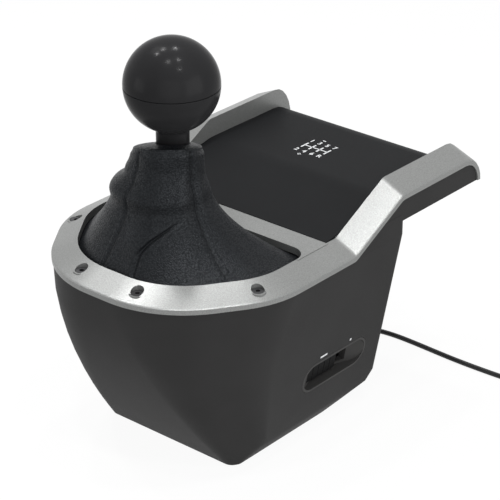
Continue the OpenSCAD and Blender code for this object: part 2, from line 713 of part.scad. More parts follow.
module main_board() {
    color([0.1, 0.35, 0.2]) difference() {
        translate([0, 0, board_z]) {
            translate([-board_half, board_y0, 0]) cube([2 * board_half, board_y1 - board_y0, board_t]);
            translate([-6, board_y0 + 20, 1.5]) cube([12, 12, 1.2]);
            translate([-5, board_y1 - 8, 1.5]) cube([10, 8, 6]);
            translate([14, board_y0 + 8, 1.5]) cube([12, 6, 5]);
        }
        at_each(board_post_at, board_z - 1) cylinder(d = 2.6, h = 5);
    }
}
module board_posts() {
    color([0.72, 0.58, 0.32]) at_each(board_post_at, chassis_top) {
        cylinder(d = 5.5, h = board_z - chassis_top, $fn = 6);
        translate([0, 0, -2]) cylinder(d = 2.4, h = board_z - chassis_top + 5);
    }
}

// Mode switch: scoop insert in the right wall, slider with its carrier, switch board behind.
window_l = 35;
window_h = 12;
thumb_l = window_l - slider_travel - 1;
carrier_t = 2;
scoop_wall = 1.6;
floor_t = 1.5;
scoop_floor = scoop_deep + floor_t;
carrier_x = scoop_floor + seat + 0.1;
scoop_arc = (pow(scoop_l / 2 - scoop_wall, 2) + pow(scoop_deep, 2)) / (2 * scoop_deep);
window_at = -2;
thumb_y = window_at - window_l / 2 + thumb_l / 2 + 0.5;
carrier_over = 6;
finger_w = 3;
board_gap = 0.4;
module switch_bezel() {
    color([0.15, 0.15, 0.16]) at_switch() difference() {
        stadium(scoop_l - 2 * seat, scoop_h - 2 * seat, -scoop_floor, 0);
        intersection() {
            translate([scoop_arc - scoop_deep, 0, 0])
                cylinder(r = scoop_arc, h = scoop_h, center = true, $fn = 128);
            stadium(scoop_l - 2 * scoop_wall, scoop_h - 2 * scoop_wall, -scoop_floor - 1, 2);
        }
        translate([-20, window_at - window_l / 2, -window_h / 2]) cube([20, window_l, window_h]);
    }
}
module mode_slider() {
    carrier_l = thumb_l + 2 * carrier_over;
    ribs = 4;
    color([0.09, 0.09, 0.1]) at_switch() {
        translate([-carrier_x - carrier_t, thumb_y - carrier_l / 2, -window_h / 2 - 1])
            cube([carrier_t, carrier_l, window_h + 2]);
        translate([-carrier_x - eps, thumb_y - thumb_l / 2, -window_h / 2 + 0.5])
            cube([carrier_x - 3.5, thumb_l, window_h - 1]);
        for (i = [0:ribs - 1]) translate([-4, thumb_y + (i - (ribs - 1) / 2) * thumb_l / (ribs + 1), 0])
            cylinder(d = 1.4, h = window_h - 1.2, center = true, $fn = 24);
        translate([-carrier_x - carrier_t - 1, thumb_y - finger_w / 2, -finger_w / 2])
            cube([1 + eps, finger_w, finger_w]);
    }
}
module switch_board() {
    x1 = -carrier_x - carrier_t - board_gap;
    depth = 4;
    slot_l = slider_travel + finger_w + 2;
    post_z = window_h / 2 + 1 + board_gap;
    post_w = scoop_h / 2 - seat - post_z - 0.2;
    color([0.1, 0.35, 0.2]) at_switch() {
        difference() {
            translate([x1 - depth, -scoop_l / 2 + 6, -scoop_h / 2 + 0.4])
                cube([depth, scoop_l - 12, scoop_h - 0.8]);
            translate([x1 - 1.5, thumb_y - finger_w / 2 - 1, -finger_w / 2 - 0.5])
                cube([3, slot_l, finger_w + 1]);
            translate([x1 - depth - 1, wall_boss_at[1][1] - switch_y - head_d / 2 - 1, -scoop_h / 2])
                cube([depth + 2, head_d + 2, head_h]);
        }
        for (s = [0, 1], y = [-12, 12]) mirror([0, 0, s]) translate([x1 - eps, y - 2, post_z])
            cube([-x1 - scoop_floor - seat + eps, 4, post_w]);
    }
}

// Lead: strain relief in the rear wall, run over the table, coil put away, tail and plug.
relief_l = 16;
module strain_relief() {
    hole = cord_d / 2 + 0.05;
    color([0.07, 0.07, 0.07]) translate([0, 0, relief_z]) difference() {
        translate([0, rear_wall_y - wall - 3, 0]) rotate([-90, 0, 0]) rotate_extrude() polygon(concat(
            [[0, 0], [relief_d / 2 + 1.5, 0], [relief_d / 2 + 1.5, 3 - seat], [relief_d / 2 - seat, 3 - seat],
             [relief_d / 2 - seat, wall + 3 + seat], [relief_d / 2 + 1.5, wall + 3 + seat],
             [relief_d / 2 + 1.5, wall + 5]],
            [[relief_d / 2 - 0.4, wall + 5.5], [hole + 1.1, wall + 3 + relief_l], [0, wall + 3 + relief_l]]));
        rotate([-90, 0, 0]) translate([0, 0, rear_wall_y - wall - 4])
            cylinder(r = hole, h = relief_l + wall + 8);
        for (i = [0:2], a = [0, 90]) translate([0, rear_wall_y + 5 + i * 3 + a / 60, 0]) rotate([0, a, 0])
            for (s = [-1, 1]) translate([s * 3.4, 0, 0]) cube([2.6, 0.9, 8], center = true);
    }
}
lift = 2.2;
coil_at = [124, 109];
coil_mean_r = 17.6;
coil_turns = 14.25;
coil_layers = 4;
coil_pitch = cord_d + 0.5;
coil_steps = 24;
run_points = [[0, rear_wall_y + 2, relief_z], [0, rear_wall_y + relief_l - 1, relief_z],
              [0, 67, 29.9], [0, 73.5, 28.8], [0, 79.5, 26], [0, 85, 21.8], [0.2, 90, 16.6],
              [0.8, 94.6, 11.4], [2, 98.8, 6.8], [4.4, 102.4, 3.6], [8.6, 105.4, 2], [14.4, 107.4, 1.6],
              [21, 108.5, 1.6], [28, 109, 1.6], [36, 109, 1.6], [44, 108.8, 1.6], [52, 108.5, 1.6],
              [60, 108.2, 1.6], [68, 108, 1.6], [76, 108, 1.6], [84, 108.2, 1.6], [92, 108.5, 1.6],
              [100, 108.8, 1.7], [107, 109, 1.9], [114, 109, 2.1], [121, 109, 2.2]];
function coil_point(t) =
    let (run = coil_turns / coil_layers, m = t - 2 * run * floor(t / (2 * run)),
         r_out = coil_mean_r + coil_pitch * run / 2,
         r = r_out - coil_pitch * (m < run ? m : 2 * run - m),
         up = sum([for (j = [1:coil_layers - 1]) smooth((t - j * run) / 0.5 + 0.5)]),
         a = 360 * t - 90)
    [coil_at[0] + r * cos(a), coil_at[1] + r_out + r * sin(a), lift + coil_pitch * up];
coil_count = coil_turns * coil_steps;
coil_r_out = coil_mean_r + coil_pitch * coil_turns / coil_layers / 2;
coil_r_in = coil_mean_r - coil_pitch * coil_turns / coil_layers / 2;
tail_at = [coil_at[0] + coil_r_out, coil_at[1] + coil_r_out + cord_d, lift + coil_pitch * (coil_layers - 1)];
tail_points = [for (p = [[0, 0, 0], [0, 6.4, -0.5], [-0.8, 12.4, -2.3], [-2.8, 18, -4.9], [-6.2, 22.8, -7.1],
                         [-11, 26.2, -8.3], [-16.6, 28, -8.7], [-22.6, 28.4, -8.7]]) tail_at + p];
coil_path = let (body = [for (i = [0:coil_count]) coil_point(i / coil_steps)])
    concat([body[0] - [cord_d, 0, 0]], body, [body[len(body) - 1] + [0, cord_d, 0]]);
function nearest(p, i) = min([for (j = [i + coil_steps / 2:1:len(p) - 1]) norm(p[i] - p[j])]);
coil_gap = min([for (i = [0:len(coil_path) - 1 - coil_steps / 2]) nearest(coil_path, i)]) - cord_d;
function path_length(p) = sum([for (i = [0:len(p) - 2]) norm(p[i + 1] - p[i])]);
echo(least_gap_in_coil = coil_gap, lead_length =
     path_length(run_points) + path_length(coil_path) + path_length(tail_points));
module cable_run() {
    color([0.07, 0.07, 0.07]) tube(run_points, cord_d / 2, 8);
}
module cable_coil() {
    color([0.07, 0.07, 0.07]) tube(coil_path, cord_d / 2, 6);
}
module cable_tail() {
    color([0.07, 0.07, 0.07]) tube(tail_points, cord_d / 2, 8);
}
tie_t = 0.6;
module cable_tie() {
    low = lift - cord_d / 2 - 0.05;
    high = lift + coil_pitch * (coil_layers - 1) + cord_d / 2 + 0.15;
    span = coil_r_out - coil_r_in + cord_d + 0.8;
    color([0.05, 0.05, 0.05]) translate([coil_at[0], coil_at[1] + coil_r_out, 0]) rotate([0, 0, 135])
        translate([coil_mean_r, 4, 0]) rotate([90, 0, 0]) linear_extrude(8) difference() {
            translate([-span / 2 - tie_t, low - tie_t]) square([span + 2 * tie_t, high - low + 2 * tie_t]);
            translate([-span / 2, low]) square([span, high - low]);
        }
}
grip_l = 28;
plug_at = tail_points[len(tail_points) - 1];
module plug_grip() {
    color([0.07, 0.07, 0.07]) translate(plug_at) rotate([0, -90, 0]) {
        rotate_extrude() polygon([[0, 0], [2.4, 0], [3.2, 9], [0, 9]]);
        translate([0, 0, 8]) linear_extrude(grip_l - 8) {
            square([7.8, 12], center = true);
            for (s = [-1, 1]) translate([0, s * 6]) square([6, 3.6], center = true);
        }
    }
}
module plug_shell() {
    color([0.75, 0.76, 0.78]) translate(plug_at) rotate([0, -90, 0]) translate([0, 0, grip_l]) difference() {
        translate([-2.25, -6, 0]) cube([4.5, 12, 18]);
        translate([-1.95, -5.7, 6]) cube([2.1, 11.4, 20]);
        for (s = [-1, 1]) translate([1.2, s * 2.8 - 1, 9]) cube([2, 2, 2.2]);
    }
}

// Select frame: gimbal ring on two pins along Y, with the shift bushes, detent leaf and sensor.
frame_x = 20;
frame_y = upright_y - bush_flange - 0.6;
frame_h = 16;
frame_wall_x = 6;
frame_wall_y = 4;
module along_x(x0, x1) {
    translate([x0, 0, 0]) rotate([90, 0, 90]) linear_extrude(x1 - x0) children();
}
module gimbal_frame() {
    color([0.33, 0.34, 0.36]) at_pivot() difference() {
        cube([2 * frame_x, 2 * frame_y, frame_h], center = true);
        cube([2 * (frame_x - frame_wall_x), 2 * (frame_y - frame_wall_y), frame_h + 2], center = true);
        along_y(-30, 30) circle(d = pin_d);
        along_x(-30, 30) circle(d = bush_d);
    }
}
arm_y = upright_y + bracket_t + 9;
arm_t = 3;
module select_pins() {
    color([0.75, 0.76, 0.78]) at_pivot() {
        along_y(-arm_y - arm_t, -frame_y + frame_wall_y) circle(d = pin_d);
        along_y(frame_y - frame_wall_y, pin_rear) circle(d = pin_d);
    }
}
module select_magnet() {
    color([0.6, 0.6, 0.62]) at_pivot() along_y(pin_rear, pin_rear + magnet_l) circle(d = pin_d);
}
module centring_arm() {
    color([0.4, 0.41, 0.43]) at_pivot() {
        along_y(-arm_y - arm_t, -arm_y) difference() {
            union() {
                circle(d = pin_d + 6);
                translate([-peg_d / 2 - 1, 0]) square([peg_d + 2, moving_peg]);
                translate([0, moving_peg]) circle(d = peg_d + 2);
            }
            circle(d = pin_d);
        }
        translate([0, 0, -moving_peg]) along_y(-arm_y - eps, -upright_y - bracket_t - 1) circle(d = peg_d);
    }
}
module shift_bushes() {
    color([0.72, 0.58, 0.32]) at_pivot() for (s = [0, 1]) mirror([s, 0, 0])
        translate([frame_x - frame_wall_x, 0, 0]) rotate([0, 90, 0]) bush(frame_wall_x, -1);
}
detent_r = 18;
detent_deg = 60;
leaf_t = 0.6;
leaf_half = 4;
function polar(r, a) = r * [-cos(a), sin(a)];
module detent_leaf() {
    foot_y = -frame_y + 0.4;
    dir = [sin(detent_deg), cos(detent_deg)];
    touch = polar(detent_r + 1.2, detent_deg);
    root = touch - dir * (touch[0] - foot_y) / dir[0];
    lift_n = [-dir[1], dir[0]] * leaf_t;
    tip = touch + dir * 1.6;
    top = frame_h / 2;
    color([0.7, 0.71, 0.73]) at_pivot() along_x(-leaf_half, leaf_half) polygon([
        [foot_y, top], [foot_y + frame_wall_y - 0.8, top], [foot_y + frame_wall_y - 0.8, top + leaf_t],
        [foot_y + leaf_t, top + leaf_t], root + [leaf_t, 0], touch - dir * 1.4,
        polar(detent_r - 0.6, detent_deg), touch + dir * 1.4, tip, tip + lift_n, root + [0, leaf_t],
        [foot_y, root[1]]]);
}
module shift_sensor() {
    x0 = frame_x;
    x1 = axle_end + magnet_l + sensor_gap;
    color([0.1, 0.35, 0.2]) at_pivot() {
        translate([x1, -frame_y, -frame_h / 2]) cube([board_t, 2 * frame_y, frame_h]);
        for (s = [-1, 1]) translate([x0, s * (frame_y - 2) - 2, -frame_h / 2])
            cube([x1 - x0 + eps, 4, frame_h]);
        translate([x1 - 1, -3, -3]) cube([1 + eps, 6, 6]);
    }
}

// Lever: hub on the shift axle, shaft up to the knob, pin down into the gate.
hub_half = frame_x - frame_wall_x - bush_flange - 0.8;
sleeve_d = shaft_d + 6;
shaft_low = -34;
stud_d = 8;
stud_l = 14;
knob_mid = knob_z - pivot_z;
stud_z = knob_mid - knob_r + 5;
pin_low = -(gate_r + gate_t / 2 + 2.5);
pin_in = 14;
axle_end = frame_x + 4;
clip_gap = 0.5;
clip_t = 1;
module lever_shaft() {
    color([0.72, 0.73, 0.75]) at_pivot() difference() {
        rotate_extrude() polygon([[0, shaft_low], [shaft_d / 2 - 0.6, shaft_low],
            [shaft_d / 2, shaft_low + 0.6], [shaft_d / 2, stud_z], [stud_d / 2, stud_z],
            [stud_d / 2, stud_z + stud_l], [0, stud_z + stud_l]]);
        translate([0, 0, shaft_low - 1]) cylinder(d = gate_pin_d, h = pin_in + 1);
        along_x(-20, 20) circle(d = pin_d);
    }
}
module lever_hub() {
    color([0.3, 0.31, 0.33]) at_pivot() difference() {
        union() {
            along_x(-hub_half, hub_half) circle(d = pin_d + 12);
            translate([0, 0, -12]) cylinder(d = sleeve_d, h = sleeve_top + 12);
        }
        translate([0, 0, -20]) cylinder(d = shaft_d, h = 50);
        along_x(-20, 20) circle(d = pin_d);
    }
}
module shift_axle() {
    color([0.75, 0.76, 0.78]) at_pivot() along_x(-axle_end, axle_end) circle(d = pin_d);
}
module axle_clips() {
    color([0.25, 0.25, 0.26]) at_pivot() for (s = [0, 1]) mirror([s, 0, 0])
        along_x(frame_x + clip_gap, frame_x + clip_gap + clip_t) difference() {
            circle(d = pin_d + 5);
            circle(d = pin_d);
        }
}
module gate_pin() {
    color([0.78, 0.79, 0.8]) at_pivot() rotate_extrude() polygon([[0, pin_low], [gate_pin_d / 2 - 1, pin_low],
        [gate_pin_d / 2, pin_low + 1], [gate_pin_d / 2, shaft_low + pin_in], [0, shaft_low + pin_in]]);
}
module shift_magnet() {
    color([0.6, 0.6, 0.62]) at_pivot() along_x(axle_end, axle_end + magnet_l) circle(d = pin_d);
}
sleeve_top = 13;
module detent_sector() {
    notch = 0.9;
    side = -sleeve_d / 2 - seat;
    far_y = -shaft_d / 2 - seat;
    low_z = 9.5;
    first = detent_deg - shift_deg - 6;
    last = acos(-far_y / detent_r);
    color([0.55, 0.56, 0.58]) at_pivot() along_x(-1.5, 1.5) difference() {
        polygon(concat([for (i = [0:12]) polar(detent_r, lerp(first, last, i / 12))],
            [[far_y, sleeve_top + seat], [side, sleeve_top + seat], [side, low_z]]));
        for (k = [-1, 0, 1]) translate(polar(detent_r + 0.2, detent_deg + k * shift_deg)) circle(notch);
    }
}
collar_h = 8;
collar_z = boot_top_z - leather - crown_drop - collar_h - pivot_z;
collar_r = boot_top_r - lean - leather - seat;
neck_low = collar_z - 3;
neck_top = knob_mid - sqrt(pow(knob_r, 2) - pow(neck_d / 2, 2)) + 2;
module boot_collar() {
    color([0.1, 0.1, 0.1]) at_pivot() translate([0, 0, collar_z]) rotate_extrude()
        polygon([[neck_d / 2, 0], [collar_r, 0], [collar_r, collar_h - 4],
                 [collar_r - 2, collar_h], [neck_d / 2, collar_h]]);
}
module knob_neck() {
    color([0.1, 0.1, 0.11]) at_pivot() rotate_extrude() polygon([[shaft_d / 2, neck_low],
        [neck_d / 2 + 1.5, neck_low], [neck_d / 2 + 1.5, collar_z], [neck_d / 2, collar_z],
        [neck_d / 2, neck_top], [shaft_d / 2, neck_top]]);
}
insert_r = 6;
seam_low = 0.5;
seam_w = 0.6;
module knob_insert() {
    color([0.75, 0.6, 0.3]) at_pivot() translate([0, 0, stud_z]) difference() {
        cylinder(r = insert_r, h = stud_l);
        translate([0, 0, -1]) cylinder(d = stud_d, h = stud_l + 2);
    }
}
module half_disc(r, z0, z1) {
    intersection() {
        circle(r, $fn = 128);
        translate([0, z0]) square([r, z1 - z0]);
    }
}
module knob_lower() {
    color([0.1, 0.1, 0.11]) at_pivot() translate([0, 0, knob_mid]) rotate_extrude($fn = 96) difference() {
        half_disc(knob_r, -knob_r, -seam_low - seam_w / 2);
        translate([0, -knob_r - 1]) square([neck_d / 2 + seat, neck_top - knob_mid + knob_r + 1 + seat]);
        translate([0, -knob_r]) square([shaft_d / 2, stud_z - knob_mid + knob_r]);
        translate([0, stud_z - knob_mid]) square([insert_r, stud_l]);
        translate([knob_r - seam_w, -seam_low - seam_w / 2 - 0.25]) square([2, 2]);
    }
}
module knob_upper() {
    shell_t = 3.5;
    color([0.1, 0.1, 0.11]) at_pivot() translate([0, 0, knob_mid]) rotate_extrude($fn = 96) difference() {
        half_disc(knob_r, -seam_low - seam_w / 2, knob_r);
        half_disc(knob_r - shell_t, -seam_low - seam_w, knob_r);
        translate([knob_r - seam_w, -seam_low - seam_w / 2 - 1]) square([2, 1 + seam_w / 2]);
    }
}

main_shell();
base_plate();
rubber_feet();
base_screws();
mount_inserts();
bezel_frame();
bezel_screws();
top_panel();
panel_screws();
boot_retainer();
shift_boot();
chassis_plate();
chassis_posts();
chassis_screws();
pivot_bracket();
bracket_screws();
select_bushes();
gate_posts();
gate_plate();
gate_screws();
centring_spring();
select_sensor();
main_board();
board_posts();
switch_bezel();
switch_board();
strain_relief();
cable_run();
cable_coil();
cable_tail();
cable_tie();
plug_grip();
plug_shell();
gimbal_frame();
select_pins();
select_magnet();
centring_arm();
shift_bushes();
detent_leaf();
shift_sensor();
lever_shaft();
lever_hub();
shift_axle();
axle_clips();
gate_pin();
shift_magnet();
detent_sector();
boot_collar();
knob_neck();
knob_insert();
knob_lower();
knob_upper();
mode_slider();
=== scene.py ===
"""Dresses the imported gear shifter: smooth skins on the moulded pieces, the sewn boot, the ball knob, the
lead with its coil, the printed shift pattern, a finish for every piece, and soft studio light."""
import json
import math

import bmesh
import bpy
import numpy as np
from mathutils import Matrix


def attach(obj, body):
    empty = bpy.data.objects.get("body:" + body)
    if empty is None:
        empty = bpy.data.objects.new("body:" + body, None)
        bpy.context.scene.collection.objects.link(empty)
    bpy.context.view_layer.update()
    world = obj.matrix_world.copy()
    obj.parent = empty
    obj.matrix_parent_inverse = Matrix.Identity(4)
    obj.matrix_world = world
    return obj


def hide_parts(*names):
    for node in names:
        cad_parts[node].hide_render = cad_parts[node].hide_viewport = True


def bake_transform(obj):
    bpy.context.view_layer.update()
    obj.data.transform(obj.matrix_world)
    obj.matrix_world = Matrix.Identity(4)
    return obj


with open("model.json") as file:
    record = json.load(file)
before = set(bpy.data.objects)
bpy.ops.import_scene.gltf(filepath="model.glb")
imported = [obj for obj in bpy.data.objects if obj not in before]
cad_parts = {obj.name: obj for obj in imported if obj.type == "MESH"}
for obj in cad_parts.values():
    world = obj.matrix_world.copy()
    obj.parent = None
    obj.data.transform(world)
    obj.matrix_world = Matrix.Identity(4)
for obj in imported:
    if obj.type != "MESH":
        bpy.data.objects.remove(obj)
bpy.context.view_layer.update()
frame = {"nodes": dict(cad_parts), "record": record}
nodes = frame["nodes"]
body_of_node = {n: body for body, names in frame["record"]["behaviour"]["bodies"].items() for n in names}
slot_of_node = {s["node"]: s["material_slot"] for s in frame["record"]["subparts"]}
MM = 0.001
scene = bpy.context.scene

# Sizes and places on the object, in millimetres: x to the driver's right, y away from the driver, z up.
HALF_W = 75.5  # half of the bezel's width
FRONT_Y = -115.0  # the bezel's front edge
FRONT_HALF = 39.0  # half of that edge, before its corners are rounded
CORNER_D = 53.0  # from the front edge back to the start of the straight sides
FRONT_ROUND, SIDE_ROUND, REAR_ROUND = 60, 55, 10  # rounds of the outline, and of the opening's rear corners
BAND_W = 14.0  # width of the band round the opening
BAR_Y = FRONT_Y + 94.5  # the opening's rear edge
RING_Z = 118.0  # top of the band
PANEL_Z = 127.7  # the top panel's level part
REAR_WALL_Y = FRONT_Y + 161.5
RIM_X, RIM_Z = HALF_W - 0.7, RING_Z - 9.3  # upper edge of the side wall
WALL_DRAFT = math.radians(10.8)
LEVER_Y = FRONT_Y + 59.0
NECK_R = 8.65
KNOB_R, KNOB_Z = 25.0, 206.4
CORD_D = 3.0

# The camera: its place in metres, how far it looks down and is turned in degrees, lens and sensor in mm.
CAMERA_PLACE = (0.6534, -0.7654, 0.5941)
CAMERA_DOWN, CAMERA_TURN = 26.523, 40.306
LENS, SENSOR = 148.09, 36.0


def add_camera():
    """Camera where the photograph was taken from: a long lens, looking down on the front right."""
    data = bpy.data.cameras.new("camera")
    data.lens = LENS
    data.sensor_width = SENSOR
    camera = bpy.data.objects.new("camera", data)
    camera.location = CAMERA_PLACE
    camera.rotation_euler = (math.radians(90 - CAMERA_DOWN), 0, math.radians(CAMERA_TURN))
    scene.collection.objects.link(camera)
    scene.camera = camera


def shade_smooth(mesh):
    """Every face of the mesh shaded smooth."""
    mesh.polygons.foreach_set("use_smooth", np.ones(len(mesh.polygons), bool))


def add_object(name, data):
    """Object at the origin, in the scene."""
    piece = bpy.data.objects.new(name, data)
    scene.collection.objects.link(piece)
    return piece


def add_mesh(name, points, faces, corner_uv=None):
    """Object from an array of points in millimetres and an array of faces, shaded smooth, at the origin."""
    mesh = bpy.data.meshes.new(name)
    mesh.from_pydata((points.reshape(-1, 3) * MM).tolist(), [], faces.tolist())
    if corner_uv is not None:
        layer = mesh.uv_layers.new(name="surface")
        layer.data.foreach_set("uv", corner_uv.astype(np.float32).ravel())
    shade_smooth(mesh)
    return add_object(name, mesh)


def add_surface(name, grid):
    """Quads over grid[i, j], where i runs down or along the piece and j round it, back to the first column.
    Corner UVs are the two parameters, from 0 to 1."""
    rows, cols = grid.shape[:2]
    i, j = np.meshgrid(np.arange(rows - 1), np.arange(cols), indexing="ij")
    steps = np.array([[0, 0], [1, 0], [1, 1], [0, 1]])
    row = i[..., None] + steps[:, 0]
    col = j[..., None] + steps[:, 1]
    faces = (row * cols + col % cols).reshape(-1, 4)
    uv = np.stack([col / cols, 1 - row / (rows - 1)], -1).reshape(-1, 2)
    return add_mesh(name, grid, faces, uv)


def even_angles(count):
    """Angles at even steps round a circle, from 0."""
    return np.arange(count) * 2 * np.pi / count


def smooth_step(x):
    """Cubic from 0 to 1 with flat ends."""
    t = np.clip(x, 0, 1)
    return t * t * (3 - 2 * t)


def hump(x, half_width):
    """Bell curve about 0: the exponential of minus the square of x over its half width."""
    return np.exp(-((x / half_width) ** 2))


# The lead: straight out of the strain relief, down to the table, along it, into its coil, then to the plug.
# The tail's points count from the end of the coil.
RUN = np.array([
    [0, REAR_WALL_Y + 2, 30], [0, REAR_WALL_Y + 15, 30], [0, 67, 29.9], [0, 73.5, 28.8], [0, 79.5, 26],
    [0, 85, 21.8], [0.2, 90, 16.6], [0.8, 94.6, 11.4], [2, 98.8, 6.8], [4.4, 102.4, 3.6], [8.6, 105.4, 2],
    [14.4, 107.4, 1.6], [21, 108.5, 1.6], [28, 109, 1.6], [36, 109, 1.6], [44, 108.8, 1.6],
    [52, 108.5, 1.6], [60, 108.2, 1.6], [68, 108, 1.6], [76, 108, 1.6], [84, 108.2, 1.6],
    [92, 108.5, 1.6], [100, 108.8, 1.7], [107, 109, 1.9], [114, 109, 2.1], [121, 109, 2.2]])
TAIL = np.array([[0, 0, 0], [0, 6.4, -0.5], [-0.8, 12.4, -2.3], [-2.8, 18, -4.9], [-6.2, 22.8, -7.1],
                 [-11, 26.2, -8.3], [-16.6, 28, -8.7], [-22.6, 28.4, -8.7]])
COIL_X, COIL_Y = 124.0, 109.0  # where the coil starts
COIL_MEAN_R = 17.6
COIL_TURNS = 14.25
COIL_LAYERS = 4
COIL_PITCH = CORD_D + 0.5
COIL_LOW = 2.2  # height of the lowest layer's middle
COIL_RISE = 0.5  # part of a turn in which the lead climbs to the next layer
COIL_STEPS = 24  # points to a turn
ROUTE_STEPS = 3  # steps between two points of the run or the tail
CORD_SIDES = 10


def rounded_path(points):
    """Smooth curve through points: Catmull-Rom cubic between each pair, with a fixed number of steps."""
    p = np.vstack([2 * points[:1] - points[1:2], points, 2 * points[-1:] - points[-2:-1]])
    t = np.arange(ROUTE_STEPS)[:, None, None] / ROUTE_STEPS
    a, b, c, d = p[:-3], p[1:-2], p[2:-1], p[3:]
    curve = b + (t * (c - a) + t**2 * (2 * a - 5 * b + 4 * c - d) + t**3 * (3 * b - a - 3 * c + d)) / 2
    return np.vstack([curve.transpose(1, 0, 2).reshape(-1, 3), points[-1:]])


def coil_route():
    """Flat spirals stacked in layers: the radius runs in and out by one pitch a turn, and the height rises
    one pitch, smoothly, where the spiral turns back."""
    t = np.arange(int(COIL_TURNS * COIL_STEPS) + 1) / COIL_STEPS
    run = COIL_TURNS / COIL_LAYERS
    m = t % (2 * run)
    r_out = COIL_MEAN_R + COIL_PITCH * run / 2
    r = r_out - COIL_PITCH * np.where(m < run, m, 2 * run - m)
    layer = np.arange(1, COIL_LAYERS)[:, None]
    up = smooth_step((t - layer * run) / COIL_RISE + 0.5).sum(0)
    a = 2 * np.pi * t - np.pi / 2
    return np.stack([COIL_X + r * np.cos(a), COIL_Y + r_out + r * np.sin(a), COIL_LOW + COIL_PITCH * up], 1)


def add_tube(name, path, radius, sides):
    """Round section carried along a path: each ring stands square to the path, its first point level."""
    along = np.gradient(path, axis=0)
    along /= np.linalg.norm(along, axis=1, keepdims=True)
    level = np.cross(along, [0.0, 0.0, 1.0])
    level /= np.linalg.norm(level, axis=1, keepdims=True)
    rise = np.cross(level, along)
    a = even_angles(sides)[None, :, None]
    ring = np.cos(a) * level[:, None] + np.sin(a) * rise[:, None]
    return add_surface(name, path[:, None] + radius * ring)


def add_cord():
    """The whole lead as one tube, from inside the strain relief to the plug's grip."""
    coil = coil_route()
    tail = coil[-1] + [0, CORD_D, 0] + TAIL
    route = np.vstack([rounded_path(RUN), coil, rounded_path(tail)])
    cord = add_tube("lead", route, CORD_D / 2, CORD_SIDES)
    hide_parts("cable_run", "cable_coil", "cable_tail")
    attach(cord, "housing")
    return cord


add_camera()
lead = add_cord()

# Finishes. Every pattern is laid in Object coordinates, in metres, so scales are per metre.
NOISE_LOW, NOISE_HIGH = 0.3, 0.7  # most of a noise's values lie between these


def start_finish(name, colour, rough, metallic=0.0, specular=0.5):
    """Material with a Principled shader, its plain values set on the shader's own sockets."""
    material = bpy.data.materials.new(name)
    material.use_nodes = True
    tree = material.node_tree
    shader = tree.nodes["Principled BSDF"]
    shader.inputs["Base Color"].default_value = (*colour, 1)
    shader.inputs["Roughness"].default_value = rough
    shader.inputs["Metallic"].default_value = metallic
    shader.inputs["Specular IOR Level"].default_value = specular
    return material, tree, shader


def add_node(tree, kind, inputs=None, **settings):
    """Node of one kind, with its settings and its unlinked inputs given by name."""
    node = tree.nodes.new(kind)
    for key, value in settings.items():
        setattr(node, key, value)
    for key, value in (inputs or {}).items():
        node.inputs[key].default_value = value
    return node


def calculate(tree, operation, *values):
    """Result of one step of arithmetic on values that are outputs of other nodes, or numbers."""
    node = add_node(tree, "ShaderNodeMath", operation=operation)
    for socket, value in zip(node.inputs, values):
        if isinstance(value, bpy.types.NodeSocket):
            tree.links.new(value, socket)
        else:
            socket.default_value = value
    return node.outputs["Value"]


def object_place(tree, stretch=(1, 1, 1)):
    """Object coordinates, stretched along the axes."""
    place = add_node(tree, "ShaderNodeTexCoord")
    mapping = add_node(tree, "ShaderNodeMapping", {"Scale": stretch})
    tree.links.new(place.outputs["Object"], mapping.inputs["Vector"])
    return mapping.outputs["Vector"]


def noise(tree, place, scale, detail=3.0, rough=0.55):
    """Value noise of that many cells a metre."""
    node = add_node(tree, "ShaderNodeTexNoise", {"Scale": scale, "Detail": detail, "Roughness": rough})
    tree.links.new(place, node.inputs["Vector"])
    return node.outputs["Fac"]


def between(tree, value, low, high, to_low, to_high):
    """Value carried from one range to another, clamped."""
    node = add_node(tree, "ShaderNodeMapRange",
                    {"From Min": low, "From Max": high, "To Min": to_low, "To Max": to_high})
    tree.links.new(value, node.inputs["Value"])
    return node.outputs["Result"]


def drive(tree, shader, socket, value, to_low, to_high, low=NOISE_LOW, high=NOISE_HIGH):
    """One of the shader's inputs, carried by a value from to_low to to_high."""
    tree.links.new(between(tree, value, low, high, to_low, to_high), shader.inputs[socket])


def shade(colour, k):
    """Colour made k times as bright."""
    return tuple(c * k for c in colour)


def tint(tree, shader, factor, dark, light):
    """Base colour that runs from dark to light with a factor."""
    node = add_node(tree, "ShaderNodeMix", data_type="RGBA")
    node.inputs["A"].default_value = (*dark, 1)
    node.inputs["B"].default_value = (*light, 1)
    tree.links.new(factor, node.inputs["Factor"])
    tree.links.new(node.outputs["Result"], shader.inputs["Base Color"])
    return node


def mottle(tree, shader, value, colour, dim, lift, low=NOISE_LOW, high=NOISE_HIGH):
    """Base colour that a noise carries from dim times a colour to lift times it."""
    factor = between(tree, value, low, high, 0, 1)
    return tint(tree, shader, factor, shade(colour, dim), shade(colour, lift))


def raise_surface(tree, shader, height, depth_mm, strength=1.0, under=None):
    """Bump of a given depth; under is a bump that it lies on."""
    node = add_node(tree, "ShaderNodeBump", {"Strength": strength, "Distance": depth_mm * MM})
    tree.links.new(height, node.inputs["Height"])
    if under is not None:
        tree.links.new(under, node.inputs["Normal"])
    tree.links.new(node.outputs["Normal"], shader.inputs["Normal"])
    return node.outputs["Normal"]


def moulded(name, colour, rough, grain_mm, depth_mm, specular, cloudy=0.08):
    """Moulded plastic: fine spark texture as bump, roughness that follows it, faint large clouds."""
    material, tree, shader = start_finish(name, colour, rough, specular=specular)
    place = object_place(tree)
    grain = noise(tree, place, scale=1 / (grain_mm * MM), detail=2.0)
    cloud = noise(tree, place, scale=28, detail=4.0)
    mottle(tree, shader, cloud, colour, dim=1 - cloudy, lift=1 + cloudy)
    drive(tree, shader, "Roughness", grain, rough - 0.07, rough + 0.07)
    raise_surface(tree, shader, grain, depth_mm)
    return material


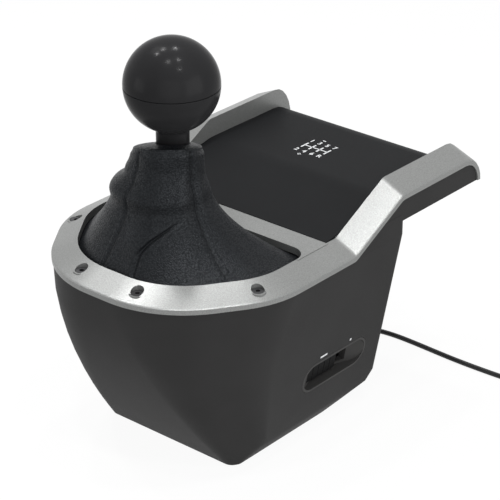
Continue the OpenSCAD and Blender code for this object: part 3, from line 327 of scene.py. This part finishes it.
def silver_paint(name, colour, rough):
    """Satin silver paint: metal flakes as fine tone and tilt, with slow waviness under them."""
    material, tree, shader = start_finish(name, colour, rough, metallic=0.5)
    place = object_place(tree)
    flake = noise(tree, place, scale=1800, detail=2.0, rough=0.7)
    wave = noise(tree, place, scale=45, detail=2.0)
    mottle(tree, shader, flake, colour, dim=0.8, lift=1.17, low=0.32, high=0.68)
    drive(tree, shader, "Roughness", flake, rough + 0.05, rough - 0.05)
    slow = raise_surface(tree, shader, wave, depth_mm=0.05, strength=0.3)
    raise_surface(tree, shader, flake, depth_mm=0.04, strength=0.6, under=slow)
    return material


def bare_metal(name, colour, rough, stretch, scale=900, metallic=1.0):
    """Metal with fine marks drawn out along one axis, and a faint stain."""
    material, tree, shader = start_finish(name, colour, rough, metallic)
    lines = noise(tree, object_place(tree, stretch), scale)
    stain = noise(tree, object_place(tree), scale=120)
    mottle(tree, shader, stain, colour, dim=0.88, lift=1.06)
    drive(tree, shader, "Roughness", lines, rough - 0.08, rough + 0.1)
    raise_surface(tree, shader, lines, depth_mm=0.02, strength=0.7)
    return material


def soft_rubber(name, colour, rough):
    """Matt rubber: powdery bloom and a fine orange peel."""
    material, tree, shader = start_finish(name, colour, rough, specular=0.3)
    place = object_place(tree)
    peel = noise(tree, place, scale=1400, detail=2.0)
    bloom = noise(tree, place, scale=60, detail=5.0)
    mottle(tree, shader, bloom, colour, dim=0.85, lift=1.25, low=0.35)
    drive(tree, shader, "Roughness", bloom, rough - 0.06, rough + 0.08)
    raise_surface(tree, shader, peel, depth_mm=0.03, strength=0.6)
    return material


def circuit_board(name, mask, copper):
    """Solder mask with straight traces showing through as a slightly lighter, raised net."""
    material, tree, shader = start_finish(name, mask, rough=0.35)
    traces = add_node(tree, "ShaderNodeTexBrick", {"Scale": 260, "Mortar Size": 0.09, "Mortar Smooth": 0.2},
                      offset=0.37, squash=1.6)
    tree.links.new(object_place(tree), traces.inputs["Vector"])
    tint(tree, shader, traces.outputs["Fac"], mask, copper)
    raise_surface(tree, shader, traces.outputs["Fac"], depth_mm=0.05, strength=0.6)
    return material


# The boot's seams, in millimetres: the half width of the painted shade in the seam's valley, how far from the
# seam the thread runs, the thread's half width with the end of its soft edge, and the length of a stitch.
SEAM_SHADE_HALF, THREAD_AT, THREAD_HALF, THREAD_EDGE, STITCH = 1.1, 2.4, 0.35, 0.6, 3.2
STITCH_LOW, STITCH_HIGH = -0.4, 0.2  # where the sine along a row of stitches rises into a stitch
PEBBLE_LOW, PEBBLE_HIGH = 0.1, 0.6  # cell distances at the top of a pebble and between pebbles


def boot_leather(name, colour):
    """Synthetic leather: pebbles from cell distances, finer creases in noise, a soft sheen, and seams whose
    thread and painted shade in the valley follow the distance from the nearest seam, kept on the mesh in
    millimetres."""
    material, tree, shader = start_finish(name, colour, rough=0.42, specular=0.2)
    shader.inputs["Specular Tint"].default_value = (0.88, 0.94, 1.0, 1)
    shader.inputs["Sheen Weight"].default_value = 0.008
    shader.inputs["Sheen Roughness"].default_value = 0.45
    shader.inputs["Sheen Tint"].default_value = (0.75, 0.85, 1.0, 1)
    place = object_place(tree)
    cells = add_node(tree, "ShaderNodeTexVoronoi", {"Scale": 1300, "Randomness": 1.0}, feature="SMOOTH_F1")
    tree.links.new(place, cells.inputs["Vector"])
    pebble = cells.outputs["Distance"]
    crease = noise(tree, place, scale=190, detail=4.0, rough=0.6)
    cloud = noise(tree, place, scale=35)
    seam = add_node(tree, "ShaderNodeAttribute", attribute_name="seam_mm").outputs["Fac"]
    along = add_node(tree, "ShaderNodeAttribute", attribute_name="along_mm").outputs["Fac"]

    base = mottle(tree, shader, cloud, colour, dim=0.8, lift=1.25)
    # Painted shade: the base colour falls to 0.3 of itself in the valley along each seam.
    dark = add_node(tree, "ShaderNodeMix", data_type="RGBA")
    dark.inputs["A"].default_value = (*shade(colour, 0.3), 1)
    tree.links.new(between(tree, seam, 0, SEAM_SHADE_HALF, 0, 1), dark.inputs["Factor"])
    tree.links.new(base.outputs["Result"], dark.inputs["B"])
    tree.links.new(dark.outputs["Result"], shader.inputs["Base Color"])
    drive(tree, shader, "Roughness", pebble, 0.32, 0.52, PEBBLE_LOW, PEBBLE_HIGH)
    drive(tree, shader, "Specular IOR Level", pebble, 0.25, 0.12, PEBBLE_LOW, PEBBLE_HIGH)

    stitch = calculate(tree, "SINE", calculate(tree, "MULTIPLY", along, 2 * math.pi / STITCH))
    from_thread = calculate(tree, "ABSOLUTE", calculate(tree, "SUBTRACT", seam, THREAD_AT))
    near = between(tree, from_thread, THREAD_HALF, THREAD_EDGE, 1, 0)
    thread = calculate(tree, "MULTIPLY", near, between(tree, stitch, STITCH_LOW, STITCH_HIGH, 0, 1))
    low = raise_surface(tree, shader, pebble, depth_mm=0.3, strength=0.75)
    mid = raise_surface(tree, shader, crease, depth_mm=0.22, strength=0.5, under=low)
    raise_surface(tree, shader, thread, depth_mm=0.2, under=mid)
    return material


def print_ink(name, colour):
    """Pad-printed ink: slightly uneven cover and a soft gloss."""
    material, tree, shader = start_finish(name, colour, rough=0.5)
    cover = noise(tree, object_place(tree), scale=1800)
    mottle(tree, shader, cover, colour, dim=0.85, lift=1.0, high=0.6)
    raise_surface(tree, shader, cover, depth_mm=0.01, strength=0.5)
    return material


charcoal = moulded("charcoal_moulding", (0.0224, 0.0222, 0.0223), rough=0.56, grain_mm=0.32, depth_mm=0.035,
                   specular=0.07)
silver = silver_paint("satin_silver", (0.194, 0.198, 0.194), rough=0.36)
panel_black = moulded("panel_black", (0.0059, 0.0062, 0.0068), rough=0.5, grain_mm=0.4, depth_mm=0.04,
                      specular=0.05)
knob_black = moulded("knob_black", (0.0166, 0.0166, 0.0174), rough=0.2, grain_mm=0.5, depth_mm=0.004,
                     specular=0.03, cloudy=0.15)
plain_black = moulded("plain_black", (0.004, 0.004, 0.0042), rough=0.5, grain_mm=0.4, depth_mm=0.03,
                      specular=0.05)
switch_grey = moulded("switch_grey", (0.036, 0.0355, 0.035), rough=0.5, grain_mm=0.35, depth_mm=0.03,
                      specular=0.08)
leather_black = boot_leather("boot_leather", (0.0030, 0.0033, 0.0039))
steel = bare_metal("plain_steel", (0.56, 0.57, 0.58), rough=0.34, stretch=(1, 0.06, 1))
black_steel = bare_metal("blackened_steel", (0.035, 0.035, 0.037), rough=0.42, stretch=(1, 1, 0.3),
                         scale=1200, metallic=0.6)
bronze = bare_metal("bearing_bronze", (0.55, 0.38, 0.16), rough=0.36, stretch=(1, 1, 0.2))
cast_alloy = bare_metal("cast_alloy", (0.34, 0.35, 0.36), rough=0.5, stretch=(1, 1, 1), scale=1500)
plated = bare_metal("plated_magnet", (0.6, 0.6, 0.62), rough=0.18, stretch=(1, 1, 1), scale=700)
board_green = circuit_board("board_green", mask=(0.012, 0.09, 0.035), copper=(0.04, 0.2, 0.09))
rubber_black = soft_rubber("rubber_black", (0.012, 0.012, 0.012), rough=0.62)
cord_black = soft_rubber("lead_jacket", (0.012, 0.012, 0.0125), rough=0.45)
ink_white = print_ink("ink_white", (0.56, 0.57, 0.58))

FINISH_OF_SLOT = {
    "body_plastic": charcoal, "silver_plastic": silver, "panel_plastic": panel_black,
    "boot_leather": leather_black, "knob_plastic": knob_black, "black_plastic": plain_black,
    "switch_plastic": switch_grey, "steel": steel, "dark_steel": black_steel, "bronze": bronze,
    "cast_alloy": cast_alloy, "board": board_green, "rubber": rubber_black, "magnet": plated}


def coat(piece, material):
    """The piece's only material."""
    piece.data.materials.clear()
    piece.data.materials.append(material)
    return piece


for node_name, node in nodes.items():
    coat(node, FINISH_OF_SLOT[slot_of_node[node_name]])
coat(lead, cord_black)
coat(nodes["switch_board"], plain_black)  # it shows in the switch's window

# Skins: how near points are merged and how short edges are dropped, in metres, and how flat joined faces are.
SKIN_MERGE, SKIN_SHORT = 2e-6, 1e-6
SKIN_FLAT = math.radians(0.2)
NO_LENGTH = 1e-12
# Nodes that get a skin, with the angle in degrees from which an edge stays sharp.
SKIN_SHARP_DEG = {"main_shell": 32, "bezel_frame": 24, "top_panel": 30, "switch_bezel": 35, "mode_slider": 30,
                  "knob_neck": 30, "bezel_screws": 30}


def weigh_normals(mesh, sharp_deg):
    """Normal at each face corner: the mean, by area, of the faces at that point that lie within sharp_deg
    of the corner's own face, so flat faces stay flat and small rounds between them turn evenly."""
    count, faces = len(mesh.loops), len(mesh.polygons)
    vert, sides = np.empty(count, np.int32), np.empty(faces, np.int32)
    facing, area = np.empty(faces * 3), np.empty(faces)
    mesh.loops.foreach_get("vertex_index", vert)
    mesh.polygons.foreach_get("loop_total", sides)
    mesh.polygons.foreach_get("normal", facing)
    mesh.polygons.foreach_get("area", area)
    facing = facing.reshape(-1, 3)
    # Corners in order of their points: each corner a is paired with every corner b at the same point.
    order = np.argsort(vert, kind="stable")
    v, f = vert[order], np.repeat(np.arange(faces), sides)[order]
    first = np.searchsorted(v, v, "left")
    k = np.searchsorted(v, v, "right") - first
    a = np.repeat(np.arange(count), k)
    b = np.arange(len(a)) + np.repeat(first - np.cumsum(k) + k, k)
    near = (facing[f[a]] * facing[f[b]]).sum(1) > math.cos(math.radians(sharp_deg))
    share = (area[f[b]] * near)[:, None] * facing[f[b]]
    mean = np.stack([np.bincount(a, share[:, c], count) for c in range(3)], 1)
    corners = np.empty_like(mean)
    corners[order] = mean / np.maximum(np.linalg.norm(mean, axis=1, keepdims=True), NO_LENGTH)
    mesh.normals_split_custom_set(corners.tolist())


def add_skin(node_name, sharp_deg):
    """Copy of a solid with its triangles joined and smooth across angles below sharp_deg. It stands for
    the solid."""
    mesh = nodes[node_name].data.copy()
    mesh.name = node_name + "_skin"
    piece = add_object(mesh.name, mesh)
    work = bmesh.new()
    work.from_mesh(mesh)
    bmesh.ops.remove_doubles(work, verts=work.verts, dist=SKIN_MERGE)
    bmesh.ops.dissolve_degenerate(work, edges=work.edges, dist=SKIN_SHORT)
    bmesh.ops.dissolve_limit(work, angle_limit=SKIN_FLAT, verts=work.verts, edges=work.edges)
    work.to_mesh(mesh)
    work.free()
    shade_smooth(mesh)
    weigh_normals(mesh, sharp_deg)
    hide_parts(node_name)
    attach(piece, body_of_node[node_name])
    return coat(piece, FINISH_OF_SLOT[slot_of_node[node_name]])


skins = {node_name: add_skin(node_name, sharp_deg) for node_name, sharp_deg in SKIN_SHARP_DEG.items()}
coat(skins["mode_slider"], plain_black)

# The knob, in millimetres from the ball's middle: the seam's height and half gap, the round at its edges and
# how deep the wall turns in; then how far out and down from the neck the fillet runs, where it bends, and its
# gap to the neck.
SEAM_Z, SEAM_HALF, SEAM_ROUND, SEAM_LIP = -0.5, 0.12, 0.35, 3.0
FILLET_OUT, FILLET_DOWN, FILLET_BEND, FILLET_GAP = 2.0, 2.6, 0.9, 0.06
KNOB_SIDES = 128
KNOB_SHARP = math.radians(50)
UPPER_POINTS, LOWER_POINTS, ROUND_STEPS, FILLET_STEPS = 56, 52, 5, 7
POLE_MERGE = 1e-7  # metres


def close_poles(piece):
    """Merges points that coincide, such as a pole's, and drops the faces that this leaves without area."""
    work = bmesh.new()
    work.from_mesh(piece.data)
    bmesh.ops.remove_doubles(work, verts=work.verts, dist=POLE_MERGE)
    bmesh.ops.dissolve_degenerate(work, edges=work.edges, dist=POLE_MERGE)
    work.to_mesh(piece.data)
    work.free()
    return piece


def round_lever(r, a, z):
    """Points at radius r and azimuth a about the lever's axis, at height z."""
    return np.stack([r * np.cos(a), LEVER_Y + r * np.sin(a), z], -1)


def ball_arc(start, end, count):
    """Points [radius, height] on the ball's outline: its radius times the cosine and the sine of an angle
    of elevation that runs evenly from start to end."""
    lift = np.linspace(start, end, count)[:, None]
    return KNOB_R * np.hstack([np.cos(lift), np.sin(lift)])


def add_knob():
    """Two halves of a ball: arcs of the ball's radius with a small round at the seam, where the wall turns
    in for a few millimetres; the lower half runs into the neck with a fillet, a quadratic curve."""
    q = np.linspace(0, np.pi / 2, ROUND_STEPS + 1)[1:, None]
    lip = [SEAM_LIP, 0]
    upper = ball_arc(math.pi / 2, math.asin((SEAM_Z + SEAM_HALF + SEAM_ROUND) / KNOB_R), UPPER_POINTS)
    rim = upper[-1] + SEAM_ROUND * np.hstack([np.cos(q) - 1, -np.sin(q)])
    upper = np.vstack([upper, rim, rim[-1] - lip])
    lower = ball_arc(math.asin((SEAM_Z - SEAM_HALF - SEAM_ROUND) / KNOB_R),
                     -math.acos((NECK_R + FILLET_OUT) / KNOB_R), LOWER_POINTS)
    rim = lower[0] + SEAM_ROUND * np.hstack([np.cos(q) - 1, np.sin(q)])
    root = np.array([NECK_R + FILLET_GAP, lower[-1, 1] - FILLET_DOWN])
    bend = np.array([NECK_R + FILLET_GAP, lower[-1, 1] - FILLET_BEND])
    t = np.linspace(0, 1, FILLET_STEPS + 1)[1:, None]
    fillet = (1 - t) ** 2 * lower[-1] + 2 * t * (1 - t) * bend + t**2 * root
    lower = np.vstack([rim[-1] - lip, rim[::-1], lower, fillet])
    for name, profile, node_name in (("knob_top_half", upper, "knob_upper"),
                                     ("knob_bottom_half", lower, "knob_lower")):
        z = np.broadcast_to(KNOB_Z + profile[:, 1:], (len(profile), KNOB_SIDES))
        half = close_poles(add_surface(name, round_lever(profile[:, :1], even_angles(KNOB_SIDES), z)))
        half.data.set_sharp_from_angle(angle=KNOB_SHARP)
        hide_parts(node_name)
        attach(half, "lever")
        coat(half, knob_black)


add_knob()

# The boot: a sewn sleeve from the collar down to the opening, with a fold to the driver's left. Lengths are
# in millimetres, and a fall is a share of the way from the crown's edge down to the hem.
BOOT_TOP_Z, BOOT_TOP_R = 174.0, 17.7
CROWN_DROP = 2.3
EDGE_Z = BOOT_TOP_Z - CROWN_DROP
HEM_Z = RING_Z - 4.5 - 0.2  # under the bezel's flange and a clearance
NECK_GAP, HEM_GAP = 0.25, 0.6
HEM_FLANGE = 2.6
LEATHER = 1.4  # thickness
SHOULDER, SHOULDER_FALL = 1.0, 0.06
LEAN = 2.7  # how much further the crown reaches to the front left than in the mean
FLARE, FLARE_BACK = 2.1, 0.8  # power of the fall, and what it gains at the back right
FOLD, FOLD_AT, FOLD_HALF = 4.0, 0.35, 0.09
FOLD_LEAST = 0.2  # share of the fold that is left at the back right
BACK_RIGHT = math.radians(40)
PANELS, SEAM_AT = 4, math.radians(255)
PULL, PULL_POWER, SLACK_RATE = 1.2, 12, 1.1  # pull of the seams, and how fast the slack comes and goes
SLACK, SLACK_ROUND, SLACK_DOWN = 0.5, 3, 9
WRINKLE, WRINKLE_AT, WRINKLE_HALF, WRINKLE_DOWN = 0.35, 0.2, 0.12, 40
BEND, BEND_ROUND, BEND_FROM = 2, 2, 0.6  # how the wrinkles bend on their way round
CREASE, CREASE_HALF, SWELLING, SWELLING_HALF = 2.2, 1.4, 0.9, 6
CREASE_AT, CREASE_TURN = math.radians(282), math.radians(21)
CREASE_LOW, CREASE_RUN = 0.82, 0.23  # fall at which the crease starts to bend, and in which it turns
CREASE_TOP, CREASE_IN, CREASE_OUT = 0.48, 0.12, 0.08  # where the crease starts, and how it fades in and out
GROOVE, GROOVE_HALF, GROOVE_IN = 0.75, 0.9, 0.03
CROWN_TILT, TILT_FROM, TILT_END = 0.32, math.radians(-49), 0.4
CROWN_SEAM = 0.6  # share of a seam's distance that is left at the neck
BORDER_U = 0.46  # fall at which the two pieces meet
BOOT_ROWS, BOOT_COLS, CROWN_ROWS = 60, 480, 12
CORNER_POINTS = 17  # tangents taken round each corner of the opening


def opening_reach(a):
    """Distance from the lever to the bezel's opening at azimuth a: the nearest of the tangents to the
    rounded outline, taken at even steps round each corner."""
    slant = math.atan2(HALF_W - FRONT_HALF, CORNER_D)
    facing = np.array([np.pi / 2, 0, -slant, -np.pi / 2, slant - np.pi, -np.pi, -1.5 * np.pi])
    side_y, rear_y = FRONT_Y + CORNER_D, BAR_Y + BAND_W
    corners = np.array([[HALF_W, rear_y], [HALF_W, side_y], [FRONT_HALF, FRONT_Y], [-FRONT_HALF, FRONT_Y],
                        [-HALF_W, side_y], [-HALF_W, rear_y]]) - [0, LEVER_Y]
    rear_round = BAND_W + REAR_ROUND
    radii = np.array([rear_round, SIDE_ROUND, FRONT_ROUND, FRONT_ROUND, SIDE_ROUND, rear_round])[:, None]
    ends = np.stack([np.cos(facing), np.sin(facing)], 1)
    lean_in = (ends[:-1] + ends[1:]) / (1 + (ends[:-1] * ends[1:]).sum(1, keepdims=True))
    middles = corners - radii * lean_in
    q = facing[:-1, None] + np.diff(facing)[:, None] * np.linspace(0, 1, CORNER_POINTS)
    normals = np.stack([np.cos(q), np.sin(q)], -1)
    far = (normals * middles[:, None]).sum(-1) + radii - BAND_W
    push = (normals[..., :1] * np.cos(a) + normals[..., 1:] * np.sin(a)) / far[..., None]
    return 1 / push.max((0, 1))


def boot_form(u, a):
    """Radius at fall u and azimuth a: a rounded shoulder, then a power of u out to the opening, steeper at
    the back right; plus one fold as a hump in u, pull at the seams as a power of a cosine, slack between
    them and wrinkles over the fold as sines, a bent crease low at the front with a swelling on both sides,
    and a groove at each seam. Returns the radius and the distance to the nearest seam, in millimetres."""
    back = np.cos(a - BACK_RIGHT)
    front = (1 - back) / 2
    reach = opening_reach(a[0]) - HEM_GAP
    out = BOOT_TOP_R - LEAN * back + SHOULDER * smooth_step(u / SHOULDER_FALL)
    r = out + (reach - out) * u ** (FLARE + FLARE_BACK * back)
    r += FOLD * hump(u - FOLD_AT, FOLD_HALF) * (FOLD_LEAST + (1 - FOLD_LEAST) * front)

    part = (a - SEAM_AT) * PANELS / (2 * np.pi)
    off = np.abs((part + 0.5) % 1 - 0.5)
    seam_mm = off * r * 2 * np.pi / PANELS
    loose = np.sin(np.pi * np.minimum(1, u * SLACK_RATE))
    r -= PULL * np.abs(np.cos(PANELS / 2 * (a - SEAM_AT))) ** PULL_POWER * loose
    r += SLACK * loose * np.sin(SLACK_ROUND * a + SLACK_DOWN * u) * np.sin(2 * np.pi * off) ** 2
    wrinkles = np.sin(WRINKLE_DOWN * u + BEND * np.sin(BEND_ROUND * a + BEND_FROM))
    r += WRINKLE * hump(u - WRINKLE_AT, WRINKLE_HALF) * wrinkles * front

    line = CREASE_AT + CREASE_TURN * np.maximum(0, (CREASE_LOW - u) / CREASE_RUN) ** 2
    crease_mm = (a - line) * r
    there = smooth_step((u - CREASE_TOP) / CREASE_IN) * smooth_step((1 - u) / CREASE_OUT)
    r += there * (SWELLING * hump(crease_mm, SWELLING_HALF) - CREASE * hump(crease_mm, CREASE_HALF))
    r -= GROOVE * hump(seam_mm, GROOVE_HALF) * smooth_step(u / GROOVE_IN)
    return r, seam_mm


def height_at(u):
    """Height at fall u, before the crown's tilt."""
    return EDGE_Z + (HEM_Z - EDGE_Z) * u


def add_boot_piece(name, u_rows, crown):
    """Part of the sleeve between two falls. The upper part starts with the crown, a quarter of an ellipse
    that closes on the neck, and the lower part ends with the hem's flange. The height gains a tilt, in
    proportion to the radius, that fades with the fall."""
    azimuth = even_angles(BOOT_COLS)
    u, a = np.broadcast_arrays(u_rows[:, None], azimuth)
    r, seam_mm = boot_form(u, a)
    z = height_at(u)
    if crown:
        k = np.arange(CROWN_ROWS)[:, None] / CROWN_ROWS
        neck_r = NECK_R + NECK_GAP
        crown_z = BOOT_TOP_Z - CROWN_DROP * (1 - np.cos(k * np.pi / 2))
        r = np.vstack([neck_r + (r[:1] - neck_r) * np.sin(k * np.pi / 2), r])
        z = np.vstack([np.broadcast_to(crown_z, (CROWN_ROWS, BOOT_COLS)), z])
        seam_mm = np.vstack([seam_mm[:1] * (CROWN_SEAM + (1 - CROWN_SEAM) * k), seam_mm])
    else:
        r = np.vstack([r, r[-1:] + HEM_FLANGE])
        z = np.vstack([z, z[-1:]])
        seam_mm = np.vstack([seam_mm, seam_mm[-1:]])
    fall = (EDGE_Z - z) / (EDGE_Z - HEM_Z)
    z = z + CROWN_TILT * r * np.cos(azimuth - TILT_FROM) * (1 - smooth_step(fall / TILT_END))
    grid = round_lever(r, azimuth, z)
    piece = add_surface(name, grid)
    steps = np.linalg.norm(np.diff(grid, axis=0), axis=-1)
    along = np.vstack([np.zeros((1, BOOT_COLS)), np.cumsum(steps, axis=0)])
    for key, values in (("seam_mm", seam_mm), ("along_mm", along)):
        layer = piece.data.attributes.new(key, "FLOAT", "POINT")
        layer.data.foreach_set("value", values.astype(np.float32).ravel())
    wall = piece.modifiers.new("leather", "SOLIDIFY")
    wall.thickness = LEATHER * MM
    wall.offset = -1
    wall.use_rim = False
    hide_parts("shift_boot")
    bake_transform(piece)
    return coat(piece, leather_black)


add_boot_piece("boot_upper", np.linspace(0, BORDER_U, BOOT_ROWS), True)
add_boot_piece("boot_lower", np.linspace(BORDER_U, 1, BOOT_ROWS), False)

# Print, in millimetres. The shift pattern has four columns and a cross bar, with the gears' numbers at the
# ends of the columns, and plus and minus for the other mode.
INK_PROUD = 0.03
PATTERN_X = np.array([-13.7, -8.3, -2.9, 2.5])
PATTERN_Y = 69.0
REACH_Y = 3.4
COLUMN_W, BAR_W = 1.05, 0.8
SIGN_X, SIGN_HALF = PATTERN_X[1], 1.1
MINUS_Y, PLUS_Y = 80.2, 57.2
GEARS = ("12", "34", "56", "7R")  # at the far and the near end of each column
NUMERAL_H, NUMERAL_AWAY = 3.3, 7.1  # height, and distance from the cross bar
FONT_PER_HEIGHT = 1.4  # the font's size for a numeral of height 1
NUMERAL_BOLD = 0.12
# The two marks over the mode switch, as strokes [y0, z0, y1, z1] on the right wall.
SWITCH_DASH, DASH_W = np.array([[-12.6, 53.2, -6.8, 53.2]]), 1.2
SWITCH_DOT, DOT_W = np.array([[12.7, 53.4, 14.1, 53.4]]), 1.4


def on_panel(flat):
    """Flat points on the top panel's level part, a little proud of it."""
    return np.column_stack([flat, np.full(len(flat), PANEL_Z + INK_PROUD)])


def on_right_wall(flat):
    """Flat points [y, z] laid on the drafted right wall, a little proud of it."""
    x = RIM_X - (RIM_Z - flat[:, 1]) * math.tan(WALL_DRAFT) + INK_PROUD
    return np.column_stack([x, flat])


def finish_print(piece):
    """Ink on the housing."""
    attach(piece, "housing")
    return coat(piece, ink_white)


def add_strokes(name, strokes, width, place):
    """Bars of one width about straight strokes [x0, y0, x1, y1]; place lays flat points on the object."""
    ends = strokes.reshape(-1, 2, 2)
    along = ends[:, 1] - ends[:, 0]
    along = along / np.linalg.norm(along, axis=1, keepdims=True)
    side = np.stack([-along[:, 1], along[:, 0]], 1) * width / 2
    corners = np.stack([ends[:, 0] - side, ends[:, 1] - side, ends[:, 1] + side, ends[:, 0] + side], 1)
    faces = np.arange(len(ends) * 4).reshape(-1, 4)
    return finish_print(add_mesh(name, place(corners.reshape(-1, 2)), faces))


def add_numeral(text, x, y):
    """One printed character, centred, as a flat mesh."""
    curve = bpy.data.curves.new("numeral", "FONT")
    curve.body = text
    curve.size = NUMERAL_H * FONT_PER_HEIGHT
    curve.offset = NUMERAL_BOLD
    curve.align_x = curve.align_y = "CENTER"
    source = add_object("numeral", curve)
    mesh = bpy.data.meshes.new_from_object(source.evaluated_get(bpy.context.evaluated_depsgraph_get()))
    flat = np.empty(len(mesh.vertices) * 3)
    mesh.vertices.foreach_get("co", flat)
    flat = flat.reshape(-1, 3)[:, :2]
    flat = flat - (flat.min(0) + flat.max(0)) / 2 + [x, y]
    mesh.vertices.foreach_set("co", (on_panel(flat) * MM).ravel())
    mesh.name = "pattern_" + text
    piece = add_object(mesh.name, mesh)
    bpy.data.objects.remove(source)
    return finish_print(piece)


columns = np.array([[x, PATTERN_Y - REACH_Y, x, PATTERN_Y + REACH_Y] for x in PATTERN_X])
bars = np.array([[PATTERN_X[0], PATTERN_Y, PATTERN_X[-1], PATTERN_Y],
                 [SIGN_X - SIGN_HALF, MINUS_Y, SIGN_X + SIGN_HALF, MINUS_Y],
                 [SIGN_X - SIGN_HALF, PLUS_Y, SIGN_X + SIGN_HALF, PLUS_Y],
                 [SIGN_X, PLUS_Y - SIGN_HALF, SIGN_X, PLUS_Y + SIGN_HALF]])
add_strokes("pattern_columns", columns, COLUMN_W, on_panel)
add_strokes("pattern_bar", bars, BAR_W, on_panel)
for x, (far, close) in zip(PATTERN_X, GEARS):
    add_numeral(far, x, PATTERN_Y + NUMERAL_AWAY)
    add_numeral(close, x, PATTERN_Y - NUMERAL_AWAY)
add_strokes("switch_dash", SWITCH_DASH, DASH_W, on_right_wall)
add_strokes("switch_dot", SWITCH_DOT, DOT_W, on_right_wall)

# The stage: the floor in millimetres; the share of glow in it and the strength of the surroundings, each for
# other rays and for the rays that see white.
FLOOR_HALF, FLOOR_Z = 4000.0, -0.3
FLOOR_GLOW = (0.5, 0.94)
FLOOR_PAINT = (0.86, 0.86, 0.86, 1)
ROOM_LIGHT = (0.15, 1.0)
WHITE = (1, 1, 1, 1)
# Softboxes: name, place and aim in metres, side in metres, watts.
OVERHEAD_XY = ((-0.61, -0.2), (-0.53, 0.1), (-0.22, 0.4), (0.11, -0.38), (0.34, 0.0), (0.8, -0.3))
LAMPS = [("overhead", (x, y, 1.35), (0, -0.05, 0.2), 0.1, 4.4) for x, y in OVERHEAD_XY] + [
    ("top", (-0.25, 0.22, 1.5), (0, -0.05, 0.1), 0.5, 0.6),
    ("top_left", (-0.85, 0.05, 1.4), (0, -0.05, 0.1), 0.45, 2.0),
    ("right", (1.3, 0.1, 0.3), (0, 0, 0.04), 1.0, 11.0),
    ("front_left", (-0.9, -1.2, 0.2), (0, -0.05, 0.05), 0.7, 4.0),
    ("front", (0.7, -0.95, 0.3), (0, -0.05, 0.1), 1.0, 5.0)]


def by_ray(tree, other, white):
    """One value for rays from the camera and for mirrored or refracted rays, which see white, and another
    for the rest."""
    path = add_node(tree, "ShaderNodeLightPath").outputs
    direct = calculate(tree, "MAXIMUM", path["Is Camera Ray"], path["Is Glossy Ray"])
    seen = calculate(tree, "MAXIMUM", direct, path["Is Transmission Ray"])
    return between(tree, seen, 0, 1, other, white)


def add_floor():
    """Pale floor that glows white and keeps a little of the object's shadow."""
    corners = np.array([[-1, -1, 0], [1, -1, 0], [1, 1, 0], [-1, 1, 0]]) * FLOOR_HALF + [0, 0, FLOOR_Z]
    floor = add_mesh("floor", corners, np.array([[0, 1, 2, 3]]))
    material = bpy.data.materials.new("floor_white")
    material.use_nodes = True
    tree = material.node_tree
    tree.nodes.clear()
    paint = add_node(tree, "ShaderNodeBsdfDiffuse", {"Color": FLOOR_PAINT})
    glow = add_node(tree, "ShaderNodeEmission", {"Color": WHITE, "Strength": 1.0})
    mix = add_node(tree, "ShaderNodeMixShader")
    tree.links.new(by_ray(tree, *FLOOR_GLOW), mix.inputs[0])
    tree.links.new(paint.outputs[0], mix.inputs[1])
    tree.links.new(glow.outputs[0], mix.inputs[2])
    tree.links.new(mix.outputs[0], add_node(tree, "ShaderNodeOutputMaterial").inputs["Surface"])
    coat(floor, material)


def add_room():
    """White surroundings, which light the object only faintly."""
    world = bpy.data.worlds.new("studio")
    scene.world = world
    world.use_nodes = True
    tree = world.node_tree
    tree.nodes.clear()
    light = add_node(tree, "ShaderNodeBackground", {"Color": WHITE})
    tree.links.new(by_ray(tree, *ROOM_LIGHT), light.inputs["Strength"])
    tree.links.new(light.outputs[0], add_node(tree, "ShaderNodeOutputWorld").inputs["Surface"])


def add_lamp(name, place, aim, size, watts):
    """Square softbox that looks from a place to an aim."""
    data = bpy.data.lights.new(name, "AREA")
    data.size = size
    data.energy = watts
    lamp = add_object(name, data)
    lamp.location = place
    x, y, z = (a - p for a, p in zip(aim, place))
    lamp.rotation_euler = (math.atan2(math.hypot(x, y), -z), 0, math.atan2(x, -y) + math.pi)


add_floor()
add_room()
for lamp in LAMPS:
    add_lamp(*lamp)

scene.view_settings.view_transform = "Standard"
